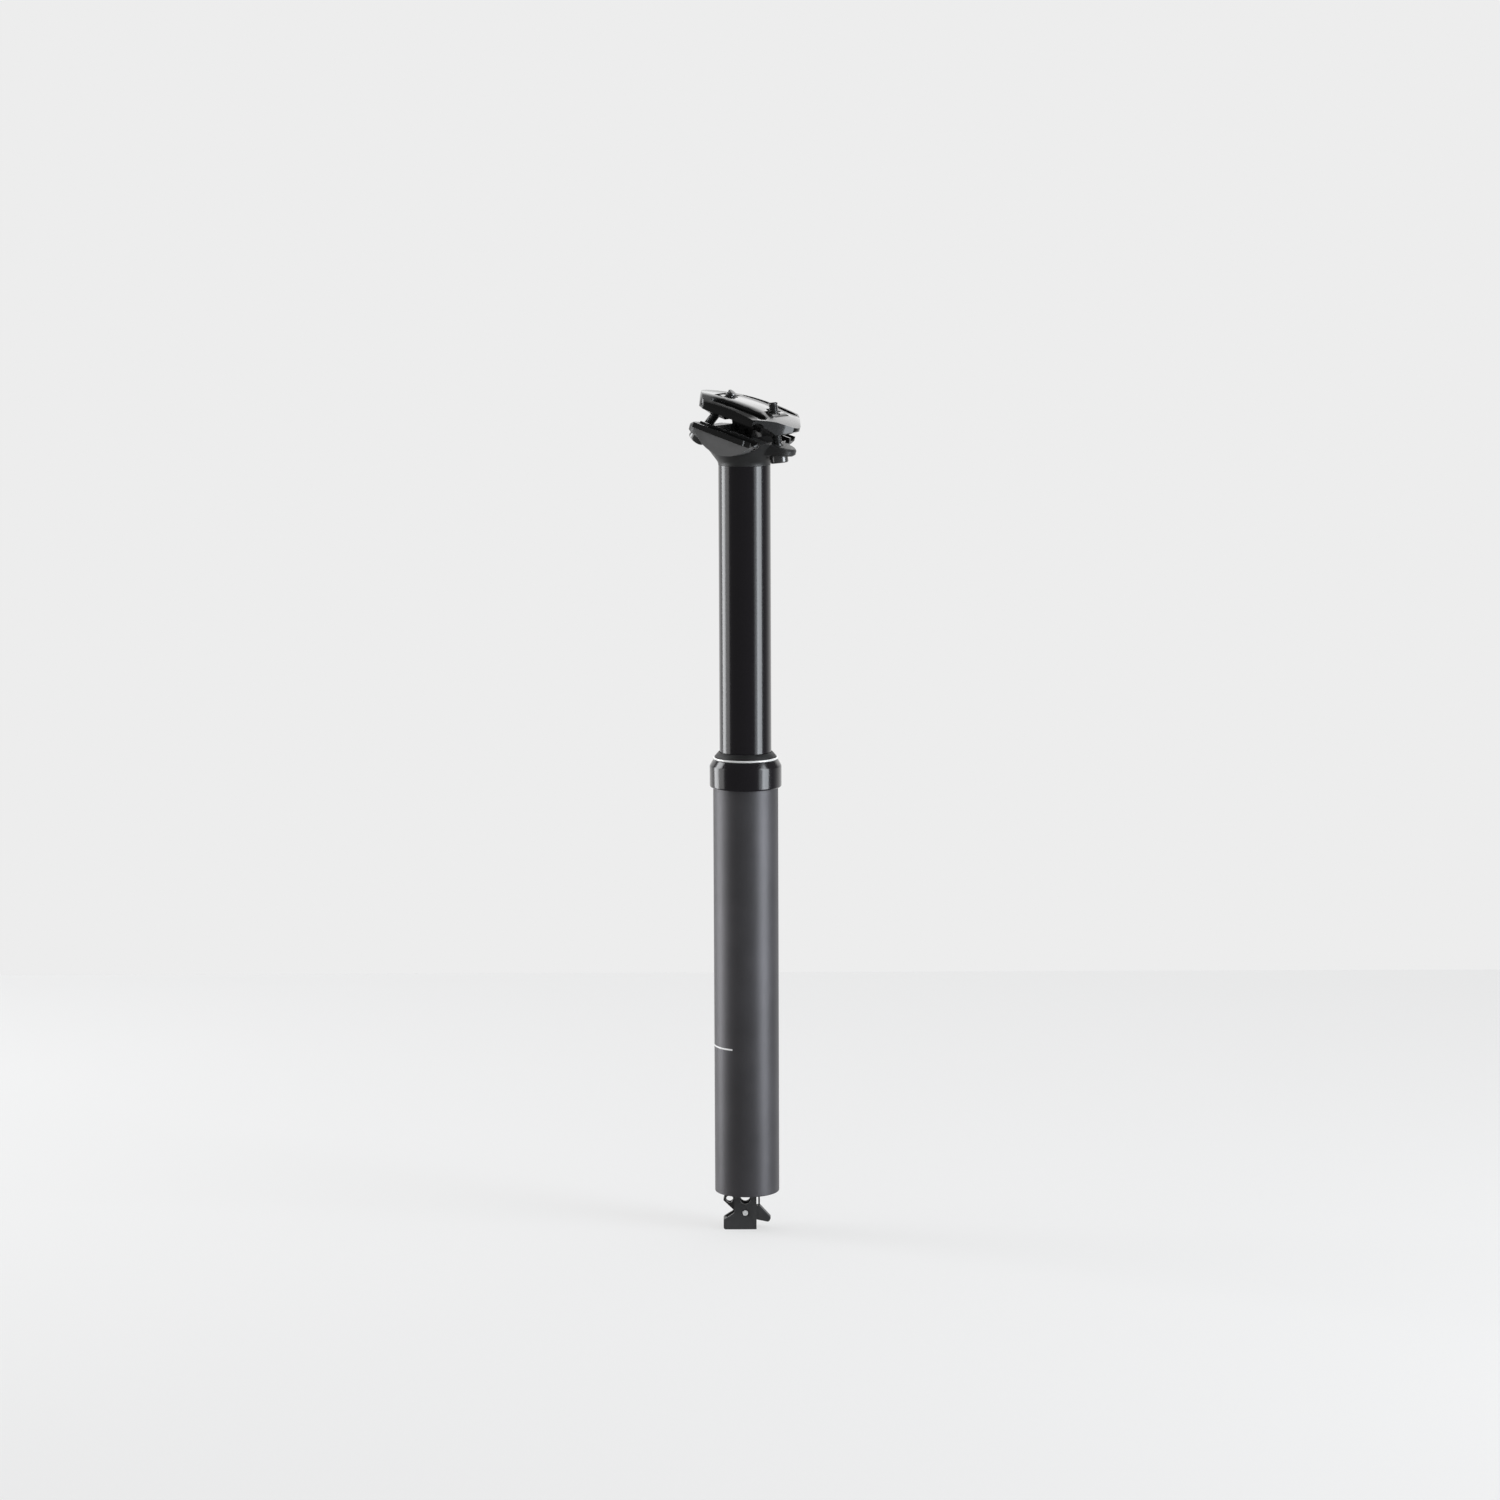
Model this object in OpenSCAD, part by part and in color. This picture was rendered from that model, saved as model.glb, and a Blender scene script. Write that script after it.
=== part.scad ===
// Dropper seatpost: an outer tube that a frame clamps, a sliding stanchion with a two-bolt
// saddle head, a gas spring inside, and a cable-pulled release lever under the tube.
// Millimetres. The post's axis is Z, +X points to the saddle's nose, and z = 0 is the
// outer tube's lower end.

/* [Outer tube] */
// Outer diameter of the tube that the frame clamps
tube_d = 34.9; // [34.5:0.1:36]
// Wall of the outer tube
tube_wall = 2; // [1.9:0.05:2.2]
// Length of the outer tube below the collar
tube_len = 222; // [218:1:260]
// Length of the thinner threaded neck inside the collar
neck_len = 11; // [10:0.5:14]
// Depth of the thread step on the neck
neck_step = 0.85; // [0.6:0.05:0.9]

/* [Collar and wiper] */
// Outer diameter of the seal collar
collar_d = 38.6; // [38:0.1:41]
// Height of the collar's body
collar_h = 15; // [15:0.5:18]
// Radius of the collar's rounded lower edge
collar_edge = 1.2; // [0.6:0.1:1.6]
// Height that the wiper lip stands above the collar
lip_h = 4.2; // [3.6:0.1:5]
// Thickness of the bright ring round the wiper
wiper_ring_d = 1.2; // [0.8:0.1:1.3]

/* [Stanchion] */
// Outer diameter of the sliding stanchion
stanchion_d = 27.8; // [27.4:0.1:28.2]
// Wall of the stanchion
stanchion_wall = 2.3; // [2.1:0.1:2.5]
// Travel of the post
travel = 150; // [130:1:154]
// Gap between the wiper lip and the head when the post is right down
head_gap = 3.7; // [2:0.1:8]
// Number of guide keys
key_count = 3; // [2:1:4]
// Width of a guide key
key_w = 3; // [2.4:0.1:3.6]
// Length of a guide key
key_len = 18.5; // [14:0.5:19]
// Length of the upper bushing
upper_bushing_len = 19.5; // [16:0.5:20]
// Length of the lower bushing
lower_bushing_len = 14; // [11:0.5:14.5]
// Length of the spacer that stops the stanchion at the top
spacer_len = 6.7; // [4:0.1:8]

/* [Gas spring] */
// Outer diameter of the gas cylinder
cylinder_d = 20; // [19.4:0.1:20.6]
// Bore of the gas cylinder
cylinder_bore = 17; // [16.6:0.1:17.4]
// Diameter of the piston rod
rod_d = 8; // [7.6:0.1:8.4]
// Bore of the piston rod
rod_bore = 3.4; // [3:0.1:3.8]
// Diameter of the release rod inside the piston rod
release_rod_d = 2.4; // [2:0.1:2.6]
// Length of the main piston
piston_len = 14; // [13:0.5:16]
// Length of the floating piston
floater_len = 8; // [7:0.5:9]

/* [Saddle head] */
// Nose-down angle of the saddle cradle
clamp_tilt = 17; // [15:0.5:18]
// Height of the clamp's centre above the top of the stanchion
clamp_h = 21.1; // [20.6:0.1:23]
// Offset of the clamp's centre towards the saddle's nose
clamp_x = 1.2; // [0.8:0.1:1.6]
// Slope of the flare from the post's axis
flare_angle = 37; // [35:0.5:40]
// Reach of each bolt ear from the clamp's centre
ear_reach = 31.5; // [30.5:0.5:33]
// Radius of the ear's round end
ear_r = 8; // [7.6:0.1:8.6]
// Top of the front ear, from the clamp's centre
front_ear_z = -3; // [-3.6:0.1:-2.6]
// Top of the rear ear, from the clamp's centre
rear_ear_z = -8; // [-8.6:0.1:-7.4]
// Thickness of the front ear at its tip
front_ear_t = 3.9; // [3.6:0.1:4.4]
// Thickness of the rear ear at its tip
rear_ear_t = 4.8; // [4.4:0.1:5.2]

/* [Saddle cradle] */
// Spacing of the saddle rails
rail_spacing = 44; // [43:0.5:45]
// Diameter of a saddle rail
rail_d = 7; // [6.8:0.1:7.2]
// Radius of the cradle's round underside
rocker_r = 20.5; // [20:0.1:21]
// Height of the tilt axis above the clamp's centre
tilt_axis_z = 6.3; // [6:0.1:6.6]
// Height of the cradle's outer lip
cradle_lip_z = -2; // [-2.4:0.1:-1.6]
// Length of the rail seats in the cradle
cradle_len = 35; // [33:0.5:35]
// Depth of the outer lip below the rail's middle
lip_drop = 1.3; // [0.8:0.1:1.6]
// Wall outside a rail's middle
rail_wall = 4.4; // [4.2:0.1:5]
// Floor of the cradle between the rails
cradle_floor_z = -8.6; // [-9:0.1:-8.2]
// Thickness of the lip outside each rail
lip_t = 3; // [2.7:0.1:3.2]
// How far the lip runs on in front of the rocker
lip_reach = 1; // [0.6:0.1:1.4]
// How far the lip's outer front corner is cut back
lip_cut = 5; // [4:0.1:6]
// How far the lip stands out over the rocker's end
lip_over = 0.8; // [0.6:0.1:1]

/* [Upper clamp] */
// Nose-up angle of the open upper clamp against the cradle
jaw_angle = 0; // [-1:0.5:2]
// Height of the upper clamp's lip
upper_lip_z = 6.3; // [6:0.1:7]
// Top of the upper clamp's dome
clamp_top = 12.8; // [12.4:0.1:13.4]
// Radius of the dome
dome_r = 160; // [140:5:220]
// Length of the upper rail seats
seat_len = 32; // [30:0.5:34]
// Reach of the upper clamp's noses
nose_reach = 30; // [29:0.1:31]
// Radius of each nose in plan
nose_r = 9; // [8:0.5:10]
// Bottom of the keel under each nose
keel_z = 0.4; // [0:0.1:1]
// Angle at which the front nose's top falls
nose_fall = 17; // [15:0.5:18]
// Underside of the front nose at its tip
nose_under_z = 6.9; // [6.6:0.1:7.2]

/* [Clamp bolts] */
// Diameter of a clamp bolt
bolt_d = 5; // [4.8:0.1:5.2]
// Lean of each bolt towards the middle
bolt_lean = 24; // [23:0.5:25]
// Distance of each bolt from the clamp's centre at the nuts' height
nut_x = 15.4; // [15:0.1:15.8]
// Height of the barrel nuts
nut_z = 8.4; // [8.2:0.1:8.8]
// Diameter of a barrel nut
nut_d = 7.6; // [7.2:0.1:7.8]
// Length of a barrel nut
nut_len = 15; // [13:0.5:16]
// Seat of the front bolt under its ear, measured from the nut's height along the bolt
front_seat = 16.8; // [16.4:0.1:17.4]
// Seat of the rear bolt under its ear, measured from the nut's height along the bolt
rear_seat = 21.6; // [21.2:0.1:22.4]
// Thread of the front bolt that stands out above the nut's height
front_tip = 9.4; // [8.4:0.1:12]
// Thread of the rear bolt that stands out above the nut's height
rear_tip = 6.8; // [6:0.1:9]
// Diameter of a bolt head
bolt_head_d = 9.5; // [8.5:0.1:10]
// Height of a bolt head
bolt_head_h = 4.6; // [4:0.1:5]
// Thickness of a bolt washer
washer_h = 1.5; // [1:0.1:2]

/* [Release lever] */
// Turn of the release gear about the post's axis
actuator_yaw = 28; // [0:1:90]
// Offset of the lever pivot from the post's axis
pivot_t = -1.1; // [-1.6:0.1:-0.6]
// Height of the lever pivot
pivot_z = -11.9; // [-12.3:0.1:-11.5]
// Width of a cheek plate
cheek_w = 12.2; // [11.6:0.1:12.6]
// Thickness of a cheek plate
cheek_t = 1.6; // [1.4:0.1:2]
// Gap between the cheek plates
cheek_gap = 6; // [5.6:0.1:6.4]
// Reach of the bracket below the tube
bracket_drop = 21; // [20.6:0.1:23]
// Width of the lever
lever_w = 5.2; // [4.6:0.1:5.3]
// Diameter of the lever's rivet
rivet_d = 3; // [2.6:0.1:3.2]
// Diameter of the open hole in the cheeks
cheek_hole_d = 5.4; // [5:0.1:5.6]
// Diameter of the seat for the cable's outer casing
casing_d = 5.1; // [4.8:0.1:5.4]
// Distance of the cable from the post's axis
cable_t = 9.6; // [9.4:0.1:9.8]
// Diameter of the seat for the cable's barrel end
barrel_d = 4; // [3.6:0.1:4.2]

/* [Hidden] */
$fn = 96;
eps = 0.01;
slide_gap = 0.05;
seat_gap = 0.03;
nut_gap = 0.6;
over = 1;

tube_r = tube_d / 2;
bore_r = tube_r - tube_wall;
neck_r = tube_r - neck_step;
stanchion_r = stanchion_d / 2;
stanchion_bore_r = stanchion_r - stanchion_wall;

// Levels, from the tube's lower end upwards
flange_recess = 0.8;
flange_t = 2.4;
cap_z = flange_recess + flange_t;
cap_h = 12.8;
cap_top = cap_z + cap_h;
rod_nut_h = 4.5;
tube_top = tube_len + neck_len;
bushing_step = 0.15;
bushing_z = tube_top - upper_bushing_len;
lip_top = tube_len + collar_h + lip_h;
head_z = lip_top + head_gap + travel;
clamp_z = head_z + clamp_h;

// Stanchion's lower end, built down from the upper bushing
clip_h = 1.2;
clip_up = 0.6;
clip_depth = 0.6;
key_depth = 1;
key_gap = 0.3;
keyway_depth = 0.9;
top_out_gap = 0.2;
spacer_z = bushing_z - top_out_gap - spacer_len;
key_z = spacer_z - key_len;
lower_bushing_z = key_z - key_gap - lower_bushing_len;
stanchion_z = lower_bushing_z - clip_h - clip_up;

// Gas spring
spigot_len = 16.5;
spigot_r = stanchion_bore_r - seat_gap;
retainer_h = 2.8;
gland_z = stanchion_z + retainer_h;
gland_flange = 4.2;
gland_len = 13.2;
cylinder_z = gland_z + gland_flange;
cap_flange = 4;
cap_plug = 4;
cylinder_top = head_z - spigot_len - cap_flange;
plug_r = cylinder_bore / 2 - seat_gap;
holder_r = stanchion_bore_r - seat_gap;
piston_z = gland_z + gland_len + 2;
piston_r = cylinder_bore / 2 - slide_gap;
rod_r = rod_d / 2;
rod_z = cap_z + 6;
rod_top = piston_z + 6;
chamber_h = 5;
chamber_r = 3;
floater_shift = travel * pow(rod_d / cylinder_bore, 2);
floater_z = piston_z + piston_len + travel + 3 - floater_shift;
seal_w = 2.4;
seal_depth = 1.4;

// Release gear under the tube
rim_r = 13;
cheek_out = cheek_gap / 2 + cheek_t;
cheek_left = pivot_t - cheek_w / 2;
cheek_right = pivot_t + cheek_w / 2;
foot_left = -cable_t - casing_d / 2 - 0.75;
foot_top = pivot_z - 0.1;
foot_drop = 3.4;
cavity_r = 8.2;
disc_r = 7.8;
disc_z = cap_z + 0.2;
disc_h = 1.8;
leg_t = 6.4;
leg_w = 0.9;
leg_n = 4;
nose_r_lever = 1;
nose_drop = 2.4;
leg_end = pivot_z + nose_drop + nose_r_lever + 0.15;
spring_wire = 0.6;
spring_turns = 2;
spring_r = 5;

// Saddle clamp
rail_y = rail_spacing / 2;
rail_r = rail_d / 2;
rail_z = cradle_lip_z + lip_drop;
clamp_half = rail_y + rail_wall;
lip_in = rail_y - 2;
rocker_gap = 0.15;
hole_gap = 0.6;
head_len = 43;
head_half = 24;
head_rim_z = -3;
rear_slope = 9;
room = 2.4 * head_len;
socket_d = 4.6;
// Distances of the nuts from the middle of the jaw, where the open jaw's line meets the bolts
nut_front = nut_x / (cos(jaw_angle) + sin(jaw_angle) * tan(bolt_lean));
nut_rear = nut_x / (cos(jaw_angle) - sin(jaw_angle) * tan(bolt_lean));
nut_half = (nut_front + nut_rear) / 2;
jaw_shift = (nut_front - nut_rear) / 2;

// Shared shapes

// Plain ring of height h standing at z
module ring(z, h, outer, inner) {
    translate([0, 0, z])
        difference() {
            cylinder(r = outer, h = h);
            translate([0, 0, -over]) cylinder(r = inner, h = h + 2 * over);
        }
}

// Round-section ring with its middle at radius r and height z
module o_ring(z, r, section) {
    translate([0, 0, z])
        rotate_extrude() translate([r, 0]) circle(d = section, $fn = 32);
}

// Copies of a shape turned evenly about the post's axis
module spread(count) {
    for (i = [0 : count - 1]) rotate([0, 0, 90 + i * 360 / count]) children();
}

// Frame of the saddle clamp: x along the rails, z square to them
module in_clamp() {
    translate([0, 0, clamp_z]) rotate([0, clamp_tilt, 0]) translate([clamp_x, 0, 0]) children();
}

// Frame of the upper clamp, which stands open with its nose up
module in_jaw() {
    in_clamp()
        translate([0, 0, nut_z]) rotate([0, -jaw_angle, 0]) translate([jaw_shift, 0, -nut_z]) children();
}

// Axis of a clamp bolt, with z = 0 at the nuts' height; side is 1 in front and -1 behind
module on_bolt(side) {
    in_clamp() translate([side * nut_x, 0, nut_z]) rotate([0, -side * bolt_lean, 0]) children();
}

function seat_of(side) = side > 0 ? front_seat : rear_seat;
function tip_of(side) = side > 0 ? front_tip : rear_tip;

// Bar with round ends, flat on z = 0
module slot_bar(len, r, h) {
    linear_extrude(h) {
        square([len - 2 * r, 2 * r], center = true);
        for (end = [-1, 1]) translate([end * (len / 2 - r), 0]) circle(r = r);
    }
}

// Frame of the release gear: x across the cheeks, -y towards the front cheek
module in_actuator() {
    rotate([0, 0, actuator_yaw]) children();
}

// Plate between two distances n in front of the post's axis, from an outline in x and z
module upright(n0, n1) {
    rotate([90, 0, 0]) translate([0, 0, n0]) linear_extrude(n1 - n0) children();
}

// Cross hole through the release gear at x and z
module cross_hole(x, z, d, half) {
    translate([x, 0, z]) rotate([90, 0, 0]) cylinder(d = d, h = 2 * half, center = true);
}

// Arc of points round a centre
function arc(cx, cy, r, from, to, steps) =
    [for (i = [0 : steps]) let (a = from + (to - from) * i / steps) [cx + r * cos(a), cy + r * sin(a)]];

// Outer post

module outer_tube() {
    color([0.24, 0.24, 0.25])
        difference() {
            union() {
                cylinder(r = tube_r, h = tube_len);
                cylinder(r = neck_r, h = tube_top);
            }
            translate([0, 0, -over]) cylinder(r = bore_r, h = tube_top + 2 * over);
            translate([0, 0, bushing_z]) cylinder(r = bore_r + bushing_step, h = upper_bushing_len + over);
            spread(key_count)
                translate([0, -key_w / 2 - slide_gap, -over])
                    cube([bore_r + keyway_depth, key_w + 2 * slide_gap, bushing_z + over]);
        }
}

shoulder_r = stanchion_r + 3.1;
o_ring_w = 1;
o_ring_up = 5;
wiper_seat_h = 2.6;
wiper_seat_z = tube_len + collar_h - wiper_seat_h;

module seal_collar() {
    collar_r = collar_d / 2;
    top = tube_len + collar_h;
    round_r = 2.2;
    color([0.07, 0.07, 0.075])
        rotate_extrude()
            polygon(concat(
                [[neck_r + seat_gap, tube_top - o_ring_up - o_ring_w / 2 - 0.1],
                 [neck_r + seat_gap, tube_len], [collar_r - collar_edge, tube_len]],
                arc(collar_r - collar_edge, tube_len + collar_edge, collar_edge, -90, 0, 6),
                arc(collar_r - round_r, top - 3.2 - round_r, round_r, 0, 50, 6),
                [[shoulder_r + 0.35, top],
                 [shoulder_r, top],
                 [shoulder_r, wiper_seat_z],
                 [bore_r - 0.4, wiper_seat_z],
                 [bore_r - 0.4, tube_top],
                 [neck_r + seat_gap, tube_top],
                 [neck_r + seat_gap, tube_top - o_ring_up + o_ring_w / 2 + 0.1],
                 [neck_r + seat_gap + o_ring_w, tube_top - o_ring_up + o_ring_w / 2 + 0.1],
                 [neck_r + seat_gap + o_ring_w, tube_top - o_ring_up - o_ring_w / 2 - 0.1]]));
}

module wiper_seal() {
    lip_r = stanchion_r + 0.08;
    top = tube_len + collar_h;
    seat_r = shoulder_r - seat_gap;
    groove_r = seat_r - wiper_ring_d * 0.55;
    color([0.05, 0.05, 0.05])
        rotate_extrude()
            polygon([[lip_r + 0.35, wiper_seat_z],
                     [seat_r, wiper_seat_z],
                     [seat_r, top - 0.2],
                     [groove_r, top + 0.1],
                     [groove_r, top + 0.1 + wiper_ring_d],
                     [seat_r - 0.35, top + 0.4 + wiper_ring_d],
                     [lip_r + 1.2, lip_top - 0.9],
                     [lip_r + 0.35, lip_top],
                     [lip_r, lip_top - 0.5],
                     [lip_r + 0.6, lip_top - 2.2]]);
}

module wiper_ring() {
    groove_r = shoulder_r - seat_gap - wiper_ring_d * 0.55;
    color([0.85, 0.86, 0.87])
        o_ring(tube_len + collar_h + 0.1 + wiper_ring_d / 2, groove_r + wiper_ring_d / 2,
               wiper_ring_d - 0.02);
}

module collar_o_ring() {
    color([0.08, 0.08, 0.08]) o_ring(tube_top - o_ring_up, neck_r + o_ring_w / 2 + 0.01, o_ring_w);
}

module upper_bushing() {
    slit = 1.2;
    color([0.3, 0.32, 0.28])
        difference() {
            ring(bushing_z, upper_bushing_len, bore_r + bushing_step - seat_gap, stanchion_r + slide_gap);
            translate([-bore_r - over, -slit / 2, bushing_z - over])
                cube([bore_r, slit, upper_bushing_len + 2 * over]);
        }
}

module bottom_cap() {
    color([0.2, 0.2, 0.21])
        difference() {
            translate([0, 0, cap_z]) cylinder(r = bore_r - seat_gap, h = cap_h);
            translate([0, 0, cap_z - over]) cylinder(r = cavity_r, h = rod_z - cap_z + over);
            translate([0, 0, cap_z]) cylinder(r = rod_r + seat_gap, h = cap_h + over);
            in_actuator() screw_places() cylinder(d = screw_d + 2 * seat_gap, h = cap_z + screw_len);
        }
}

screw_d = 3;
screw_len = 6;
screw_head_d = 5.6;
screw_n = 10.2;

module screw_places() {
    for (side = [-1, 1]) translate([0, side * screw_n, 0]) children();
}

module cheek_outline() {
    corner = 1.2;
    root = flange_recess + flange_t / 2;
    polygon(concat(
        [[cheek_left, root], [cheek_left, foot_top]],
        [[foot_left + 0.4, foot_top - foot_drop], [foot_left, foot_top - foot_drop - 0.7]],
        arc(foot_left + corner, -bracket_drop + corner, corner, 180, 270, 6),
        [[cheek_left + cheek_w, -bracket_drop], [cheek_left + cheek_w, root]]));
}

module actuator_bracket() {
    foot_block_top = foot_top - foot_drop;
    seat_top = foot_block_top - 1.4;
    color([0.1, 0.1, 0.105])
        in_actuator()
            difference() {
                union() {
                    ring(flange_recess, flange_t, rim_r, cheek_gap / 2 - 0.4);
                    for (side = [-1, 1])
                        upright(side > 0 ? cheek_gap / 2 : -cheek_out, side > 0 ? cheek_out : -cheek_gap / 2)
                            cheek_outline();
                    translate([foot_left + 0.1, -cheek_gap / 2 - 0.3, -bracket_drop + 0.4])
                        cube([cheek_left - foot_left, cheek_gap + 0.6, foot_block_top + bracket_drop - 0.4]);
                }
                translate([-cable_t, 0, -bracket_drop - over])
                    cylinder(d = casing_d, h = seat_top + bracket_drop + over);
                translate([-cable_t, 0, seat_top - over]) cylinder(d = 2.2, h = 4);
                cross_hole(pivot_t, pivot_z, rivet_d + 2 * seat_gap, cheek_out + over);
                cross_hole(pivot_t, pivot_z + 7.5, cheek_hole_d, cheek_out + over);
                for (side = [-1, 1])
                    translate([pivot_t, -side * (cheek_out + over - 0.5), pivot_z])
                        rotate([90, 0, 0]) cylinder(d = rivet_d + 1.1, h = 2 * over, center = true);
                translate([leg_t - 0.8, -leg_n / 2 - 0.3, flange_recess - over])
                    cube([1.6, leg_n + 0.6, flange_t + 2 * over]);
                screw_places() {
                    cylinder(d = screw_d + 2 * seat_gap, h = cap_z + over);
                    translate([0, 0, flange_recess - eps])
                        cylinder(d1 = screw_head_d, d2 = screw_d, h = (screw_head_d - screw_d) / 2);
                }
            }
}

module bracket_screws() {
    cone_h = (screw_head_d - screw_d) / 2;
    color([0.15, 0.15, 0.16])
        in_actuator() screw_places()
            difference() {
                union() {
                    translate([0, 0, flange_recess])
                        cylinder(d1 = screw_head_d - 0.1, d2 = screw_d - 0.1, h = cone_h);
                    translate([0, 0, flange_recess + cone_h - eps])
                        cylinder(d = screw_d - 0.1, h = cap_z + screw_len - 0.5 - flange_recess - cone_h);
                }
                translate([0, 0, flange_recess - eps]) cylinder(d = 2.3, h = 1.1, $fn = 6);
            }
}

module pivot_rivet() {
    color([0.8, 0.8, 0.8]) in_actuator() cross_hole(pivot_t, pivot_z, rivet_d, cheek_out);
}

module piston_rod() {
    color([0.72, 0.73, 0.74]) ring(rod_z, rod_top - rod_z, rod_r, rod_bore / 2);
}

module rod_nut() {
    color([0.5, 0.5, 0.52])
        translate([0, 0, cap_top])
            difference() {
                cylinder(d = rod_d + 5.6, h = rod_nut_h, $fn = 6);
                translate([0, 0, -over]) cylinder(r = rod_r + seat_gap, h = rod_nut_h + 2 * over);
            }
}

module piston() {
    groove_z = piston_z + piston_len / 2 - seal_w / 2;
    port_r = 5.6;
    color([0.65, 0.62, 0.5])
        difference() {
            translate([0, 0, piston_z]) cylinder(r = piston_r, h = piston_len);
            translate([0, 0, piston_z - over]) cylinder(r = rod_r + seat_gap, h = rod_top - piston_z + over);
            translate([0, 0, rod_top - eps]) cylinder(r = chamber_r, h = chamber_h);
            translate([0, 0, piston_z]) cylinder(d = 2, h = piston_len + over);
            ring(groove_z, seal_w, piston_r + over, piston_r - seal_depth);
            spread(4) translate([port_r, 0, piston_z - over]) cylinder(d = 1.4, h = piston_len + 2 * over);
        }
}

module piston_seal() {
    color([0.1, 0.1, 0.1])
        o_ring(piston_z + piston_len / 2, piston_r - seal_depth / 2, seal_depth - 2 * seat_gap);
}

// Points along the plunger's coil spring, its wire swept round them with six sides
spring_z = disc_z + disc_h + spring_wire / 2 + seat_gap;
spring_h = rod_z - spring_wire / 2 - seat_gap - spring_z;
spring_rings = 8 * spring_turns;
spring_sides = 6;

function coil_point(i) =
    let (a = 360 * spring_turns * i / spring_rings)
    [spring_r * cos(a), spring_r * sin(a), spring_z + spring_h * i / spring_rings];

function coil_ring(i) =
    let (a = 360 * spring_turns * i / spring_rings, p = coil_point(i))
    [for (k = [0 : spring_sides - 1])
        let (b = 360 * k / spring_sides, w = spring_wire / 2)
        [p[0] + w * cos(b) * cos(a), p[1] + w * cos(b) * sin(a), p[2] + w * sin(b)]];

module plunger_spring() {
    points = [for (i = [0 : spring_rings]) each coil_ring(i)];
    sides = spring_sides;
    last = spring_rings * sides;
    walls = [for (i = [0 : spring_rings - 1], k = [0 : sides - 1])
        let (a = i * sides + k, b = i * sides + (k + 1) % sides)
        each [[a, b, a + sides], [b, b + sides, a + sides]]];
    caps = [for (k = [1 : sides - 2]) each [[0, k + 1, k], [last, last + k, last + k + 1]]];
    echo(least_gap = spring_h / spring_turns - spring_wire);
    color([0.6, 0.6, 0.62]) polyhedron(points = points, faces = concat(walls, caps));
}

// Sliding post

module stanchion() {
    color([0.05, 0.05, 0.055])
        difference() {
            translate([0, 0, stanchion_z]) cylinder(r = stanchion_r, h = head_z - stanchion_z);
            translate([0, 0, stanchion_z - over])
                cylinder(r = stanchion_bore_r, h = head_z - stanchion_z + 2 * over);
            ring(stanchion_z + clip_up, clip_h, stanchion_r + over, stanchion_r - clip_depth);
            spread(key_count) key_shape(seat_gap, stanchion_r + over);
        }
}

// Guide key with a margin round it, reaching out to a given radius
module key_shape(margin, reach) {
    r = key_w / 2 + margin;
    translate([stanchion_r - key_depth - margin, 0, key_z + key_len / 2])
        rotate([0, 90, 0]) slot_bar(key_len + 2 * margin, r, reach - stanchion_r + key_depth + margin);
}

module guide_keys() {
    color([0.72, 0.58, 0.25])
        spread(key_count) key_shape(0, bore_r + keyway_depth - 0.1);
}

module lower_bushing() {
    slit = 1.2;
    color([0.3, 0.32, 0.28])
        difference() {
            ring(lower_bushing_z, lower_bushing_len, bore_r - slide_gap, stanchion_r + seat_gap);
            translate([0, -slit / 2, lower_bushing_z - over])
                cube([bore_r, slit, lower_bushing_len + 2 * over]);
        }
}

module bushing_clip() {
    opening = 5;
    color([0.45, 0.45, 0.46])
        difference() {
            ring(stanchion_z + clip_up + seat_gap, clip_h - 2 * seat_gap,
                 bore_r - 0.35, stanchion_r - clip_depth + seat_gap);
            translate([-bore_r, -opening / 2, stanchion_z]) cube([bore_r, opening, clip_h + 2 * clip_up]);
        }
}

module top_out_spacer() {
    color([0.12, 0.12, 0.12]) ring(spacer_z, spacer_len, bore_r - 0.3, stanchion_r + seat_gap);
}

module gas_cylinder() {
    color([0.6, 0.61, 0.63]) ring(cylinder_z, cylinder_top - cylinder_z, cylinder_d / 2, cylinder_bore / 2);
}

module cylinder_gland() {
    color([0.3, 0.3, 0.32])
        difference() {
            union() {
                translate([0, 0, gland_z]) cylinder(r = holder_r, h = gland_flange);
                translate([0, 0, gland_z]) cylinder(r = plug_r, h = gland_len);
            }
            translate([0, 0, gland_z - over]) cylinder(r = rod_r + slide_gap, h = gland_len + 2 * over);
            translate([0, 0, cylinder_z + 2]) cylinder(r = rod_r + 1.6, h = seal_w);
        }
}

module rod_seal() {
    color([0.1, 0.1, 0.1])
        difference() {
            ring(cylinder_z + 2 + seat_gap, seal_w - 2 * seat_gap, rod_r + 1.6 - seat_gap, rod_r + 0.08);
            translate([0, 0, cylinder_z + 2])
                cylinder(r1 = rod_r + 0.08, r2 = rod_r + 0.6, h = seal_w + over);
        }
}

module cylinder_cap() {
    color([0.3, 0.3, 0.32]) {
        translate([0, 0, cylinder_top]) cylinder(r = holder_r, h = cap_flange - seat_gap);
        translate([0, 0, cylinder_top - cap_plug]) cylinder(r = plug_r, h = cap_plug + eps);
    }
}

module cylinder_retainer() {
    pin_d = 2;
    pin_r = (holder_r + rod_r + 2) / 2;
    color([0.35, 0.35, 0.37])
        difference() {
            ring(stanchion_z, retainer_h, holder_r, rod_r + 2);
            spread(2) translate([pin_r, 0, stanchion_z - over]) cylinder(d = pin_d, h = 1.6 + over);
        }
}

// Saddle head

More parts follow.
